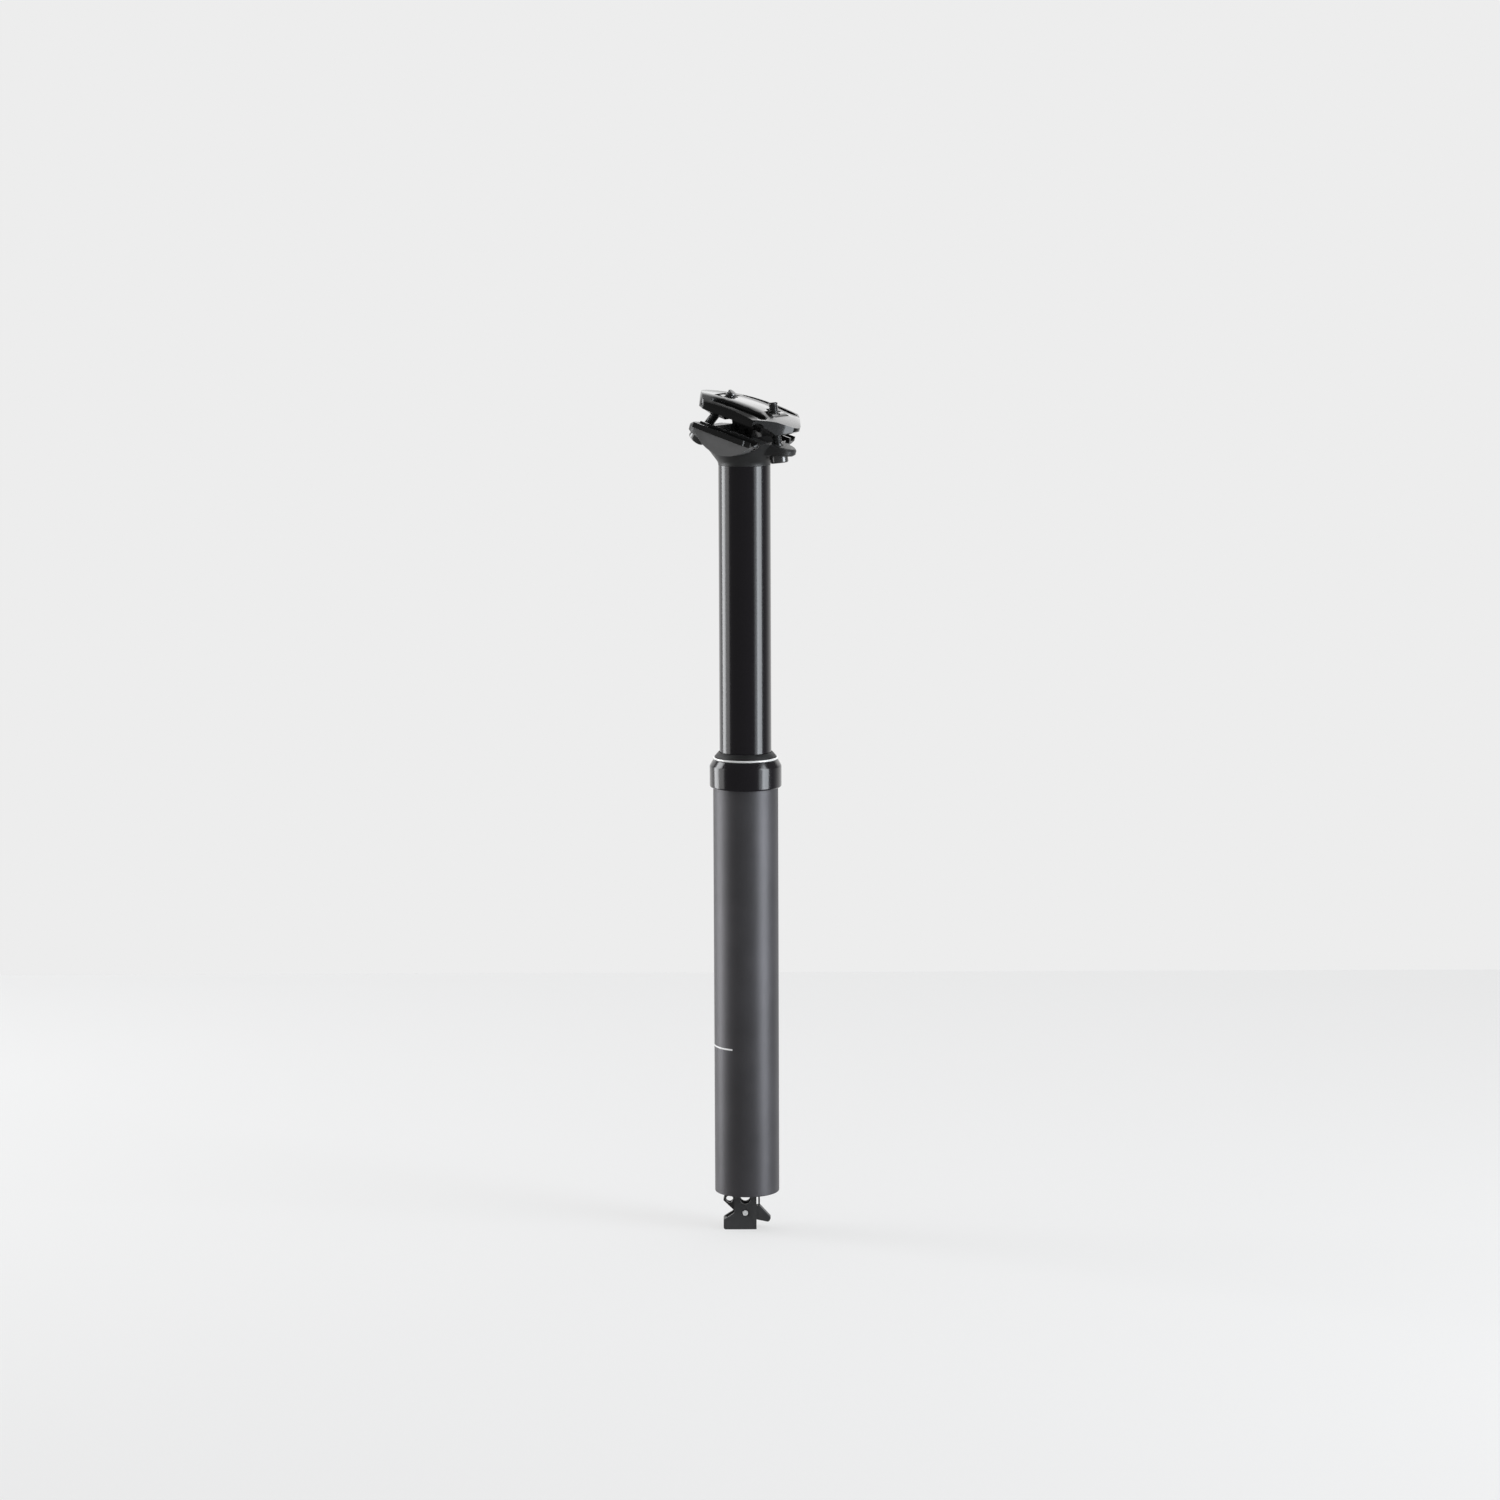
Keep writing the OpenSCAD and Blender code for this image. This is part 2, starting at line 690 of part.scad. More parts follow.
// Neck that flares from the stanchion towards the clamp
module flare() {
    root_r = 4;
    reach = head_half + 1;
    top = clamp_h + head_half;
    start_r = stanchion_r + root_r * (1 - cos(flare_angle));
    start_z = root_r * sin(flare_angle);
    rotate_extrude()
        polygon(concat(
            [[0, 0]],
            [for (i = [0 : 6]) let (a = flare_angle * i / 6)
                [stanchion_r + root_r * (1 - cos(a)), root_r * sin(a)]],
            [[reach, start_z + (reach - start_r) / tan(flare_angle)], [reach, top], [0, top]]));
}

// Ear that carries a bolt, blended into the neck
module ear(side) {
    ear_t = side > 0 ? front_ear_t : rear_ear_t;
    edge = 1;
    root_x = 5;
    root_r = 9.6;
    tip_x = ear_reach - ear_r;
    top = side > 0 ? front_ear_z : rear_ear_z;
    root_z = top - 9.5;
    hull() {
        translate([side * tip_x, 0, top - ear_t]) cylinder(r = ear_r - edge, h = ear_t, $fn = 32);
        translate([side * tip_x, 0, top - ear_t + edge]) cylinder(r = ear_r, h = ear_t - 2 * edge, $fn = 32);
        translate([side * root_x, 0, root_z]) cylinder(r = root_r, h = top - root_z, $fn = 32);
    }
}

module saddle_head() {
    color([0.15, 0.15, 0.155])
        difference() {
            union() {
                translate([0, 0, head_z - spigot_len]) cylinder(r = spigot_r, h = spigot_len + over);
                intersection() {
                    translate([0, 0, head_z]) flare();
                    in_clamp() translate([0, 0, head_rim_z]) {
                        intersection() {
                            translate([-head_len / 2, -head_half, -room])
                                cube([head_len, 2 * head_half, room]);
                            rotate([0, -rear_slope, 0]) translate([-room / 2, -room / 2, -room]) cube(room);
                        }
                    }
                    translate([-room / 2, -room / 2, head_z]) cube(room);
                }
                in_clamp() for (side = [-1, 1]) ear(side);
            }
            in_clamp()
                translate([0, 0, tilt_axis_z])
                    rotate([90, 0, 0])
                        cylinder(r = rocker_r + rocker_gap, h = room, center = true, $fn = 180);
            for (side = [-1, 1])
                on_bolt(side) {
                    translate([0, 0, -seat_of(side) - over])
                        cylinder(d = bolt_d + 2 * hole_gap, h = seat_of(side) + over);
                    translate([0, 0, -seat_of(side) - 3 * bolt_head_h])
                        cylinder(d = bolt_head_d + 2, h = 3 * bolt_head_h);
                }
        }
}

module clamp_bolt(side) {
    under = -seat_of(side) - washer_h;
    tip = tip_of(side);
    color([0.09, 0.09, 0.1])
        on_bolt(side)
            difference() {
                union() {
                    translate([0, 0, under]) cylinder(d = bolt_d, h = tip - under - 0.5);
                    translate([0, 0, tip - 0.5 - eps]) cylinder(d1 = bolt_d, d2 = bolt_d - 1, h = 0.5);
                    translate([0, 0, under - bolt_head_h + 0.5])
                        cylinder(d = bolt_head_d, h = bolt_head_h - 0.5);
                    translate([0, 0, under - bolt_head_h])
                        cylinder(d1 = bolt_head_d - 1, d2 = bolt_head_d, h = 0.5 + eps);
                }
                translate([0, 0, under - bolt_head_h - over])
                    cylinder(d = socket_d, h = bolt_head_h * 0.6 + over, $fn = 6);
            }
}

module front_bolt() { clamp_bolt(1); }

module rear_bolt() { clamp_bolt(-1); }

module bolt_washers() {
    color([0.1, 0.1, 0.1])
        for (side = [-1, 1])
            on_bolt(side)
                ring(-seat_of(side) - washer_h, washer_h, bolt_head_d / 2 + 0.4, bolt_d / 2 + 0.2);
}

// Floating piston of the gas spring

module floating_piston() {
    color([0.62, 0.6, 0.5])
        difference() {
            translate([0, 0, floater_z]) cylinder(r = piston_r, h = floater_len);
            ring(floater_z + floater_len / 2 - seal_w / 2, seal_w, piston_r + over, piston_r - seal_depth);
            translate([0, 0, floater_z + 2]) cylinder(r = piston_r - 3, h = floater_len);
        }
}

module floating_piston_seal() {
    color([0.1, 0.1, 0.1])
        o_ring(floater_z + floater_len / 2, piston_r - seal_depth / 2, seal_depth - 2 * seat_gap);
}

// Saddle clamp

// Room for both rails at height z
module rail_seats(z) {
    for (side = [-1, 1])
        translate([0, side * rail_y, z]) rotate([0, 90, 0]) cylinder(r = rail_r, h = room, center = true);
}

// Plan of the lip outside one rail, cut back at its outer front corner
module lip_plan(side) {
    front = cradle_len / 2 + lip_reach;
    deep = rail_y - rail_r - 1;
    polygon([[-cradle_len / 2, side * lip_in], [-cradle_len / 2, side * clamp_half],
             [front - lip_cut, side * clamp_half], [front, side * (rail_y - 3)],
             [front, side * deep], [front - lip_cut, side * deep], [front - lip_cut, side * lip_in]]);
}

module lower_cradle() {
    inner = rail_y - rail_r - 1;
    notch = bolt_d / 2 + 2;
    end_half = clamp_half - lip_over;
    color([0.15, 0.15, 0.155])
        in_clamp()
            difference() {
                union() {
                    intersection() {
                        translate([0, 0, tilt_axis_z]) rotate([90, 0, 0])
                            cylinder(r = rocker_r, h = 2 * end_half, center = true, $fn = 180);
                        translate([-cradle_len / 2, -room / 2, cradle_lip_z - room])
                            cube([cradle_len, room, room]);
                    }
                    for (side = [-1, 1])
                        translate([0, 0, cradle_lip_z - lip_t]) linear_extrude(lip_t) lip_plan(side);
                }
                translate([-room / 2, -inner, cradle_floor_z]) cube([room, 2 * inner, room]);
                for (side = [-1, 1])
                    translate([side * cradle_len * 0.57 - 6.5, -notch, -room / 2])
                        cube([13, 2 * notch, room]);
                rail_seats(rail_z);
            }
}

// Plan of the upper clamp: straight over the rails, with a round nose at each end
module clamp_plan() {
    corner = 2.5;
    hull() {
        for (x = [-1, 1], y = [-1, 1])
            translate([x * (seat_len / 2 - corner), y * (clamp_half - corner)]) circle(r = corner, $fn = 32);
        for (x = [-1, 1]) translate([x * (nose_reach - nose_r), 0]) circle(r = nose_r, $fn = 48);
    }
}

// Section of the upper clamp across the rails, with a keel in the middle
module clamp_section() {
    lip = upper_lip_z;
    inner = rail_y - rail_r - 1;
    keel = 6;
    top = clamp_top + over;
    polygon([[-clamp_half, lip], [-inner, lip], [-keel, keel_z], [keel, keel_z], [inner, lip],
             [clamp_half, lip], [clamp_half, lip + 2.6], [clamp_half - 3, top], [3 - clamp_half, top],
             [-clamp_half, lip + 2.6]]);
}

// Side view of the upper clamp, with each nose cut up towards its tip
module clamp_profile() {
    flat = nut_half + 1.6;
    past = nose_reach + 2;
    climb = (past - flat) / (nose_reach - flat);
    front_z = keel_z + (nose_under_z - keel_z) * climb;
    rear_z = keel_z + (nose_under_z + 1.9 - keel_z) * climb;
    top = clamp_top + 2 * over;
    tip_z = nose_under_z + 1 - (past - nose_reach) * tan(nose_fall);
    polygon([[-past, rear_z], [-flat, keel_z - over], [flat, keel_z - over], [past, front_z],
             [past, max(front_z + 0.2, tip_z)],
             [nose_reach - (top - nose_under_z - 1) / tan(nose_fall), top], [-past, top]]);
}

module upper_clamp() {
    end_gap = 0.3;
    pocket_r = 4.2;
    pocket_len = seat_len + 1.5;
    pocket_floor = clamp_top - 3;
    pocket_y = rail_y - rail_r - 1.2;
    open_half = nut_half - nut_d / 2 - 1.6;
    roof = upper_lip_z + 1.8;
    rib_half = 9;
    rib_z = -3.2;
    inner = rail_y - rail_r - 1;
    color([0.04, 0.04, 0.045])
        in_jaw()
            difference() {
                union() {
                    difference() {
                        intersection() {
                            translate([0, 0, -10]) linear_extrude(30) clamp_plan();
                            rotate([90, 0, 90]) linear_extrude(room, center = true) clamp_section();
                            rotate([90, 0, 0]) linear_extrude(room, center = true) clamp_profile();
                            translate([0, 0, clamp_top - dome_r]) sphere(r = dome_r, $fn = 200);
                        }
                        translate([-open_half, -inner, -10]) cube([2 * open_half, 2 * inner, 10 + roof]);
                    }
                    translate([-4, -rib_half, rib_z]) cube([13, 2 * rib_half, roof + 0.5 - rib_z]);
                }
                rail_seats(upper_lip_z - lip_drop);
                for (x = [-0.6, 5.6])
                    translate([x, 0, rib_z + 2.5]) rotate([90, 0, 0])
                        cylinder(d = 3.2, h = 4 * rib_half, center = true);
                for (side = [-1, 1]) {
                    translate([2, side * pocket_y, pocket_floor]) slot_bar(pocket_len, pocket_r, 10);
                    translate([side * nut_half, 0, nut_z]) {
                        rotate([90, 0, 0])
                            cylinder(d = nut_d + 2 * slide_gap, h = nut_len + 2 * end_gap, center = true);
                        translate([-nut_d / 2 - slide_gap, -nut_len / 2 - end_gap, 0])
                            cube([nut_d + 2 * slide_gap, nut_len + 2 * end_gap, 20]);
                        rotate([0, jaw_angle - side * bolt_lean, 0])
                            translate([0, 0, -20]) slot_bar(bolt_d + 3.2, bolt_d / 2 + 0.5, 40);
                    }
                }
            }
}

module barrel_nut(side) {
    color([0.12, 0.12, 0.125])
        difference() {
            in_jaw() translate([side * nut_half, 0, nut_z]) rotate([90, 0, 0])
                cylinder(d = nut_d, h = nut_len, center = true);
            on_bolt(side) cylinder(d = bolt_d + 2 * nut_gap, h = 3 * nut_d, center = true);
        }
}

module front_barrel_nut() { barrel_nut(1); }

module rear_barrel_nut() { barrel_nut(-1); }

// Release gear that moves

module release_lever() {
    nose_x = leg_t;
    nose_z = pivot_z + nose_drop;
    hub_r = rivet_d / 2 + 2;
    barrel_z = -4.6;
    arm_top = barrel_z + 3.2;
    toe_x = cheek_right + 7.7;
    color([0.11, 0.11, 0.115])
        in_actuator()
            difference() {
                upright(-lever_w / 2, lever_w / 2)
                    polygon(concat(
                        [[-cable_t - 3.4, barrel_z - 0.6]],
                        arc(pivot_t, pivot_z, hub_r, 225, 290, 6),
                        [[cheek_right + 0.5, pivot_z - 4.2], [toe_x - 1.8, pivot_z - 5.4],
                         [toe_x - 0.8, pivot_z - 5.1]],
                        [[toe_x, pivot_z - 3.5], [toe_x - 0.1, pivot_z - 2.9]],
                        arc(nose_x, nose_z, nose_r_lever, 40, 120, 6),
                        arc(pivot_t, pivot_z, hub_r, 60, 130, 6),
                        [[-cable_t + 1.6, arm_top], [-cable_t - 1.4, arm_top],
                         [-cable_t - 2.7, arm_top - 1.2]]));
                cross_hole(pivot_t, pivot_z, rivet_d + 2 * slide_gap, lever_w);
                cross_hole(-cable_t, barrel_z, barrel_d, lever_w);
                translate([-cable_t - 0.8, -0.8, barrel_z - bracket_drop]) cube([1.6, 1.6, bracket_drop]);
            }
}

module release_plunger() {
    color([0.5, 0.5, 0.52])
        in_actuator() {
            translate([0, 0, disc_z]) cylinder(r = disc_r, h = disc_h);
            translate([leg_t - leg_w / 2, -leg_n / 2, leg_end]) cube([leg_w, leg_n, disc_z - leg_end + eps]);
        }
}

module release_rod() {
    start = disc_z + disc_h;
    color([0.7, 0.7, 0.72])
        translate([0, 0, start]) cylinder(d = release_rod_d, h = rod_top + 0.3 - start);
}

module valve_poppet() {
    color([0.6, 0.6, 0.62])
        translate([0, 0, rod_top + 0.3]) cylinder(r1 = chamber_r - 0.5, r2 = chamber_r - 0.9, h = 2.2);
}

outer_tube();
seal_collar();
wiper_seal();
wiper_ring();
collar_o_ring();
upper_bushing();
bottom_cap();
actuator_bracket();
bracket_screws();
pivot_rivet();
piston_rod();
rod_nut();
piston();
piston_seal();
plunger_spring();
stanchion();
saddle_head();
guide_keys();
lower_bushing();
bushing_clip();
top_out_spacer();
gas_cylinder();
cylinder_gland();
rod_seal();
cylinder_cap();
cylinder_retainer();
front_bolt();
rear_bolt();
bolt_washers();
floating_piston();
floating_piston_seal();
lower_cradle();
upper_clamp();
front_barrel_nut();
rear_barrel_nut();
release_lever();
release_plunger();
release_rod();
valve_poppet();
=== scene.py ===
# %% [markdown]
# # A dropper seatpost, dressed for its picture
# The solids of this seatpost come from its construction model. This lesson loads them, puts finer
# surfaces over the pieces that are seen, gives each piece its finish, and sets up a plain studio.
# Pieces are worked out in millimetres and become metres when their mesh is made. The camera, the
# floor and the lamps are placed in metres.

import bmesh
import bpy
import numpy as np
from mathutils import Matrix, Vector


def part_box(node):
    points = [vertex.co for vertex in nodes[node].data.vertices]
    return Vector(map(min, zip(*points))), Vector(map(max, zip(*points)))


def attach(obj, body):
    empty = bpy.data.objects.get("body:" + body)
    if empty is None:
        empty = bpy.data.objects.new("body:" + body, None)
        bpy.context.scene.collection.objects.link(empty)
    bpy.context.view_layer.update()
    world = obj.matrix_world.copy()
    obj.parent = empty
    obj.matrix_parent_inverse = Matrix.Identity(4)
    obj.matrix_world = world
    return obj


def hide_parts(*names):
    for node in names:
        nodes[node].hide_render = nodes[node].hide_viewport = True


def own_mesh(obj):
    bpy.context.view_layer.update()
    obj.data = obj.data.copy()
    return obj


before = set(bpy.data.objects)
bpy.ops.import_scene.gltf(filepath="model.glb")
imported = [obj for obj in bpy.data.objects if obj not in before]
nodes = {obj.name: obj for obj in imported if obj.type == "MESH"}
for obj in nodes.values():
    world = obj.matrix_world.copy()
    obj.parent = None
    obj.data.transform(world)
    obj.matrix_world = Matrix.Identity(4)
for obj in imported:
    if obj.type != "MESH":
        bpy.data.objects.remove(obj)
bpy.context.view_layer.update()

# %% [markdown]
# ## Where the camera stands
# The picture was taken from beside the post and a little above it, with a long lens. A camera can be
# aimed with a constraint, but here its three axes are worked out as vectors, so the same vectors can
# place the floor. The lamps stand at angles that are counted from the camera's.

# %% Camera
TURN, RISE = np.radians(28.0), np.radians(8.3)
ROLL = 0.0038
AIM, DISTANCE, SIDE_STEP = np.array([0.0, 0.0, 0.2418]), 2.3, 0.0024
LENS_PX, PICTURE_PX, SENSOR_MM = 4290, 1500, 36

back = np.array([np.sin(TURN) * np.cos(RISE), -np.cos(TURN) * np.cos(RISE), np.sin(RISE)])
right = np.array([np.cos(TURN), np.sin(TURN), 0.0])
up = np.cross(back, right)
right_rolled = right - ROLL * up
up_rolled = up + ROLL * right

camera_data = bpy.data.cameras.new("post_camera")
camera_data.lens = LENS_PX / PICTURE_PX * SENSOR_MM
camera_data.sensor_width = SENSOR_MM
camera = bpy.data.objects.new("post_camera", camera_data)
bpy.context.scene.collection.objects.link(camera)
stand = np.eye(4)
stand[:3, 0] = right_rolled / np.linalg.norm(right_rolled)
stand[:3, 1] = up_rolled / np.linalg.norm(up_rolled)
stand[:3, 2] = back
stand[:3, 3] = AIM + DISTANCE * back + SIDE_STEP * right
camera.matrix_world = [tuple(row) for row in stand.T]
bpy.context.scene.camera = camera
print("camera at", np.round(stand[:3, 3], 3))

# %% [markdown]
# ## Surfaces from grids
# Nearly every piece of a seatpost is turned on a lathe. A turned surface is a grid: one direction
# runs along the profile, the other round the axis. One helper joins a grid of points into faces, a
# second rounds the corners of a profile, because a real edge is never quite sharp, and a third turns
# a profile into a grid.

# %% Grid and profile helpers
MM = 0.001
TINY, NEARLY_ONE = 1e-9, 0.999999


def grid_faces(rows, cols, loop_rows=False, loop_cols=True):
    """Four-sided faces between neighbouring rows and columns; a looped way closes on itself."""
    i, j = np.meshgrid(np.arange(rows - (not loop_rows)), np.arange(cols - (not loop_cols)),
                       indexing="ij")
    near, far = i * cols, (i + 1) % rows * cols
    here, there = j, (j + 1) % cols
    corners = [near + here, near + there, far + there, far + here]
    return np.stack(corners, axis=-1).reshape(-1, 4)


def rounded(corners, radii, steps=6):
    """Corners of a closed outline replaced by arcs.

    At each corner the arc's middle lies on the bisector, radius over the sine of half the corner's
    angle away, and the arc is the spherical blend of the two spokes to its ends."""
    p = np.asarray(corners, float)
    r = np.broadcast_to(np.asarray(radii, float), len(p))[:, None] + TINY
    u = np.roll(p, 1, 0) - p
    v = np.roll(p, -1, 0) - p
    u /= np.linalg.norm(u, axis=1, keepdims=True)
    v /= np.linalg.norm(v, axis=1, keepdims=True)
    half = np.arccos(np.clip((u * v).sum(1, keepdims=True), -NEARLY_ONE, NEARLY_ONE)) / 2
    bisector = (u + v) / np.linalg.norm(u + v, axis=1, keepdims=True)
    middle = p + bisector * r / np.sin(half)
    spoke_a = (p + u * r / np.tan(half) - middle)[:, None]
    spoke_b = (p + v * r / np.tan(half) - middle)[:, None]
    sweep = (np.pi - 2 * half)[:, None]
    s = np.linspace(0, 1, steps)[None, :, None]
    arc = (np.sin((1 - s) * sweep) * spoke_a + np.sin(s * sweep) * spoke_b) / np.sin(sweep)
    return (middle[:, None] + arc).reshape(-1, 2)


def turned_points(profile, cuts=160):
    """A profile point (r, z) turned by the angle a lies at (r cos a, r sin a, z)."""
    a = np.linspace(0, 2 * np.pi, cuts, endpoint=False)
    r, z = np.asarray(profile, float).T
    x, y = np.outer(r, np.cos(a)), np.outer(r, np.sin(a))
    return np.stack([x, y, np.repeat(z[:, None], cuts, 1)], axis=-1)


print("helpers: grid_faces, rounded, turned_points")

# %% [markdown]
# ## From points to a piece
# A new piece takes over from its solid: it moves with the same body, and the solid isn't shown any
# more. Doubled points are merged, so seams and poles are closed, and only edges that bend by more
# than a set angle stay sharp in the shading.

# %% Make a piece
GRID_MERGE = 2e-7
pieces = {}


def dress(mesh, name, body, covers, sharp=32):
    """Makes a piece of a finished mesh, which moves with a body and stands for its solids."""
    mesh.shade_smooth()
    mesh.set_sharp_from_angle(angle=np.radians(sharp))
    piece = bpy.data.objects.new(name, mesh)
    bpy.context.scene.collection.objects.link(piece)
    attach(piece, body)
    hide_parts(*covers)
    pieces[name] = piece
    print(name, "faces:", len(mesh.polygons))
    return piece


def grid_piece(name, points, body, covers, loop_rows=True, sharp=32):
    """Puts a grid of points in millimetres, or several of them, into one mesh in metres."""
    grids = points if isinstance(points, list) else [points]
    starts = np.cumsum([0] + [g.shape[0] * g.shape[1] for g in grids])
    faces = [grid_faces(*g.shape[:2], loop_rows) + s for g, s in zip(grids, starts)]
    corners = np.concatenate([g.reshape(-1, 3) for g in grids]) * MM
    mesh = bpy.data.meshes.new(name)
    mesh.from_pydata(corners.tolist(), [], np.concatenate(faces).tolist())
    work = bmesh.new()
    work.from_mesh(mesh)
    bmesh.ops.remove_doubles(work, verts=work.verts, dist=GRID_MERGE)
    bmesh.ops.recalc_face_normals(work, faces=work.faces)
    work.to_mesh(mesh)
    work.free()
    return dress(mesh, name, body, covers, sharp)


print("helpers: dress, grid_piece")

# %% [markdown]
# ## Outer tube
# The frame of the bicycle clamps this tube. It is plain, so its finish matters most. The turned
# surface has a broken edge at its lower end and the thin neck that the collar screws on to. Inside,
# a small step widens the bore for the upper bushing.

# %% Outer tube
TUBE_R, BORE_R, NECK_R = 17.45, 15.45, 16.6
TUBE_LEN, TUBE_TOP = 222.0, 233.0
STEP_R, STEP_Z = BORE_R + 0.15, 213.5
TUBE_CUTS, SMALL_CUTS = 224, 192

tube_profile = rounded(
    [(BORE_R, 0.0), (TUBE_R, 0.0), (TUBE_R, TUBE_LEN), (NECK_R, TUBE_LEN),
     (NECK_R, TUBE_TOP), (STEP_R, TUBE_TOP), (STEP_R, STEP_Z), (BORE_R, STEP_Z)],
    [0.3, 0.45, 0.15, 0, 0.2, 0.1, 0, 0])
grid_piece("outer_tube_turned", turned_points(tube_profile, TUBE_CUTS), "outer_post",
           ["outer_tube"])

# %% [markdown]
# ## Collar
# The collar closes the tube and is polished black. Its upper edge is a wide chamfer with a soft
# lower corner, and a narrow rim is left round the seat of the wiper.

# %% Collar
STANCHION_R = 13.9
SEAT_GAP = 0.03
COLLAR_R, COLLAR_TOP = 19.3, 237.0
SHOULDER_R = STANCHION_R + 3.1
COLLAR_IN_R, FLANGE_R = NECK_R + SEAT_GAP, BORE_R - 0.4
CHAMFER_Z, WIPER_Z = COLLAR_TOP - 3.4, COLLAR_TOP - 2.6
RIM_R = SHOULDER_R + 0.35

collar_profile = rounded(
    [(COLLAR_IN_R, TUBE_LEN), (COLLAR_R, TUBE_LEN), (COLLAR_R, CHAMFER_Z), (RIM_R, COLLAR_TOP),
     (SHOULDER_R, COLLAR_TOP), (SHOULDER_R, WIPER_Z), (FLANGE_R, WIPER_Z), (FLANGE_R, TUBE_TOP),
     (COLLAR_IN_R, TUBE_TOP)],
    [0.2, 1.1, 2.0, 0.3, 0.1, 0, 0.2, 0, 0], 9)
grid_piece("seal_collar_turned", turned_points(collar_profile, TUBE_CUTS), "outer_post",
           ["seal_collar"])

# %% [markdown]
# ## Wiper and bright ring
# The wiper is a soft lip that keeps dirt off the stanchion. Its profile goes up from its foot,
# round a groove, over the lip and down the hollow behind it. A thin bright wire lies in the groove,
# and its own profile is a circle.

# %% Wiper and ring
LIP_R, LIP_TOP = STANCHION_R + 0.08, 241.2
SEAT_R = SHOULDER_R - SEAT_GAP
GROOVE_R, GROOVE_Z = SEAT_R - 0.66, COLLAR_TOP + 0.7
RING_R, RING_WIRE_R = GROOVE_R + 0.6, 0.59

wiper_profile = rounded(
    [(LIP_R + 0.35, WIPER_Z), (SEAT_R, WIPER_Z),
     (SEAT_R, GROOVE_Z - 0.9), (GROOVE_R, GROOVE_Z - 0.6),
     (GROOVE_R, GROOVE_Z + 0.6), (SEAT_R - 0.35, GROOVE_Z + 0.9),
     (LIP_R + 1.2, LIP_TOP - 0.9), (LIP_R + 0.35, LIP_TOP),
     (LIP_R, LIP_TOP - 0.5), (LIP_R + 0.6, LIP_TOP - 2.2)],
    [0.1, 0.1, 0.05, 0.1, 0.1, 0.14, 0.5, 0.16, 0.12, 0.3], 5)
grid_piece("wiper_lip", turned_points(wiper_profile, SMALL_CUTS), "outer_post",
           ["wiper_seal"])
ring_turn = np.linspace(0, 2 * np.pi, 20, endpoint=False)
ring_profile = np.stack([RING_R + RING_WIRE_R * np.cos(ring_turn),
                         GROOVE_Z + RING_WIRE_R * np.sin(ring_turn)], axis=-1)
grid_piece("bright_wire", turned_points(ring_profile, SMALL_CUTS), "outer_post",
           ["wiper_ring"])

# %% [markdown]
# ## Stanchion
# The inner tube slides in and out, so it is ground and polished to a mirror. The seats of its three
# guide keys never leave the outer tube, so only its solid has them.

# %% Stanchion
STANCHION_Z, HEAD_Z = 172.0, 394.9
STANCHION_BORE_R = STANCHION_R - 2.3

stanchion_profile = rounded(
    [(STANCHION_BORE_R, STANCHION_Z), (STANCHION_R, STANCHION_Z), (STANCHION_R, HEAD_Z),
     (STANCHION_BORE_R, HEAD_Z)],
    [0.2, 0.3, 0.12, 0.1])
grid_piece("stanchion_turned", turned_points(stanchion_profile, TUBE_CUTS), "upper_post",
           ["stanchion"])

# %% [markdown]
# ## Clamp bolts
# Two M5 bolts hold the saddle. A bolt is worked out on its own axis, with nought at the middle of
# its nut and the head below, and is then leaned, tilted with the clamp and lifted to its place.

# %% Bolt's place
CLAMP_Z, CLAMP_X, CLAMP_TILT = 416.0, 1.2, np.radians(17.0)
NUT_X, NUT_Z, BOLT_LEAN = 15.4, 8.4, np.radians(24.0)


def pitched(points, angle):
    """Turns points about the y axis.

    The new x is x times the cosine plus z times the sine, and the new z is z times the cosine less
    x times the sine."""
    x, y, z = np.moveaxis(points, -1, 0)
    c, s = np.cos(angle), np.sin(angle)
    return np.stack([x * c + z * s, y, z * c - x * s], axis=-1)


def on_bolt(points, side):
    """Carries points from a bolt's axis into the frame: lean, step out to the nut, tilt, lift."""
    placed = pitched(points, -side * BOLT_LEAN) + [side * NUT_X + CLAMP_X, 0, NUT_Z]
    return pitched(placed, CLAMP_TILT) + [0, 0, CLAMP_Z]


for label, side in (("front", 1), ("rear", -1)):
    print(label, "nut at", np.round(on_bolt(np.zeros(3), side), 2))

# %% [markdown]
# ## Threads and sockets
# A thread is a helix: its radius rises and falls with the height and the angle together. The
# six-sided socket is the same grid with a radius that follows a hexagon. So one grid, from the
# bottom of the socket over the head and along the shank to the tip, is the whole bolt.

# %% Bolts and washers
BOLT_R, HEAD_H, WASHER_H = 2.5, 4.6, 1.5
WASHER_IN_R, WASHER_R = 2.7, 5.15
PITCH, THREAD_DEPTH, ROWS_PER_TURN = 0.8, 0.42, 12
WAVE_STRETCH, CREST_CUT = 1.25, 0.12
PLAIN_LEN, RUN_IN, RUN_OUT = 5.0, 1.2, 0.8
THREAD_END, TIP_BEVEL = 0.4, 0.5
BOLT_CUTS = 72
# Rows of radius and height: the socket and the head's crown from the head's outer face, the head's
# foot from the washer, and the tip from the bolt's end.
SOCKET = np.array([(0, 2.9), (1.2, 2.7), (2.0, 2.5), (2.0, 1.2), (2.0, 0.15), (2.12, 0)])
CROWN = np.array([(2.9, 0), (3.7, 0), (4.15, 0.08), (4.45, 0.25), (4.65, 0.5), (4.75, 0.85)])
FOOT = np.array([(4.75, 0.35), (4.72, 0.12), (4.6, 0)])
TIP = np.array([(2.1, 0.12), (1.2, 0.06), (0, 0.06)])
# Name, side, distance from the nut to the washer, and distance from the nut to the tip.
BOLTS = (("front_bolt", 1, 16.8, 9.4), ("rear_bolt", -1, 21.6, 6.8))


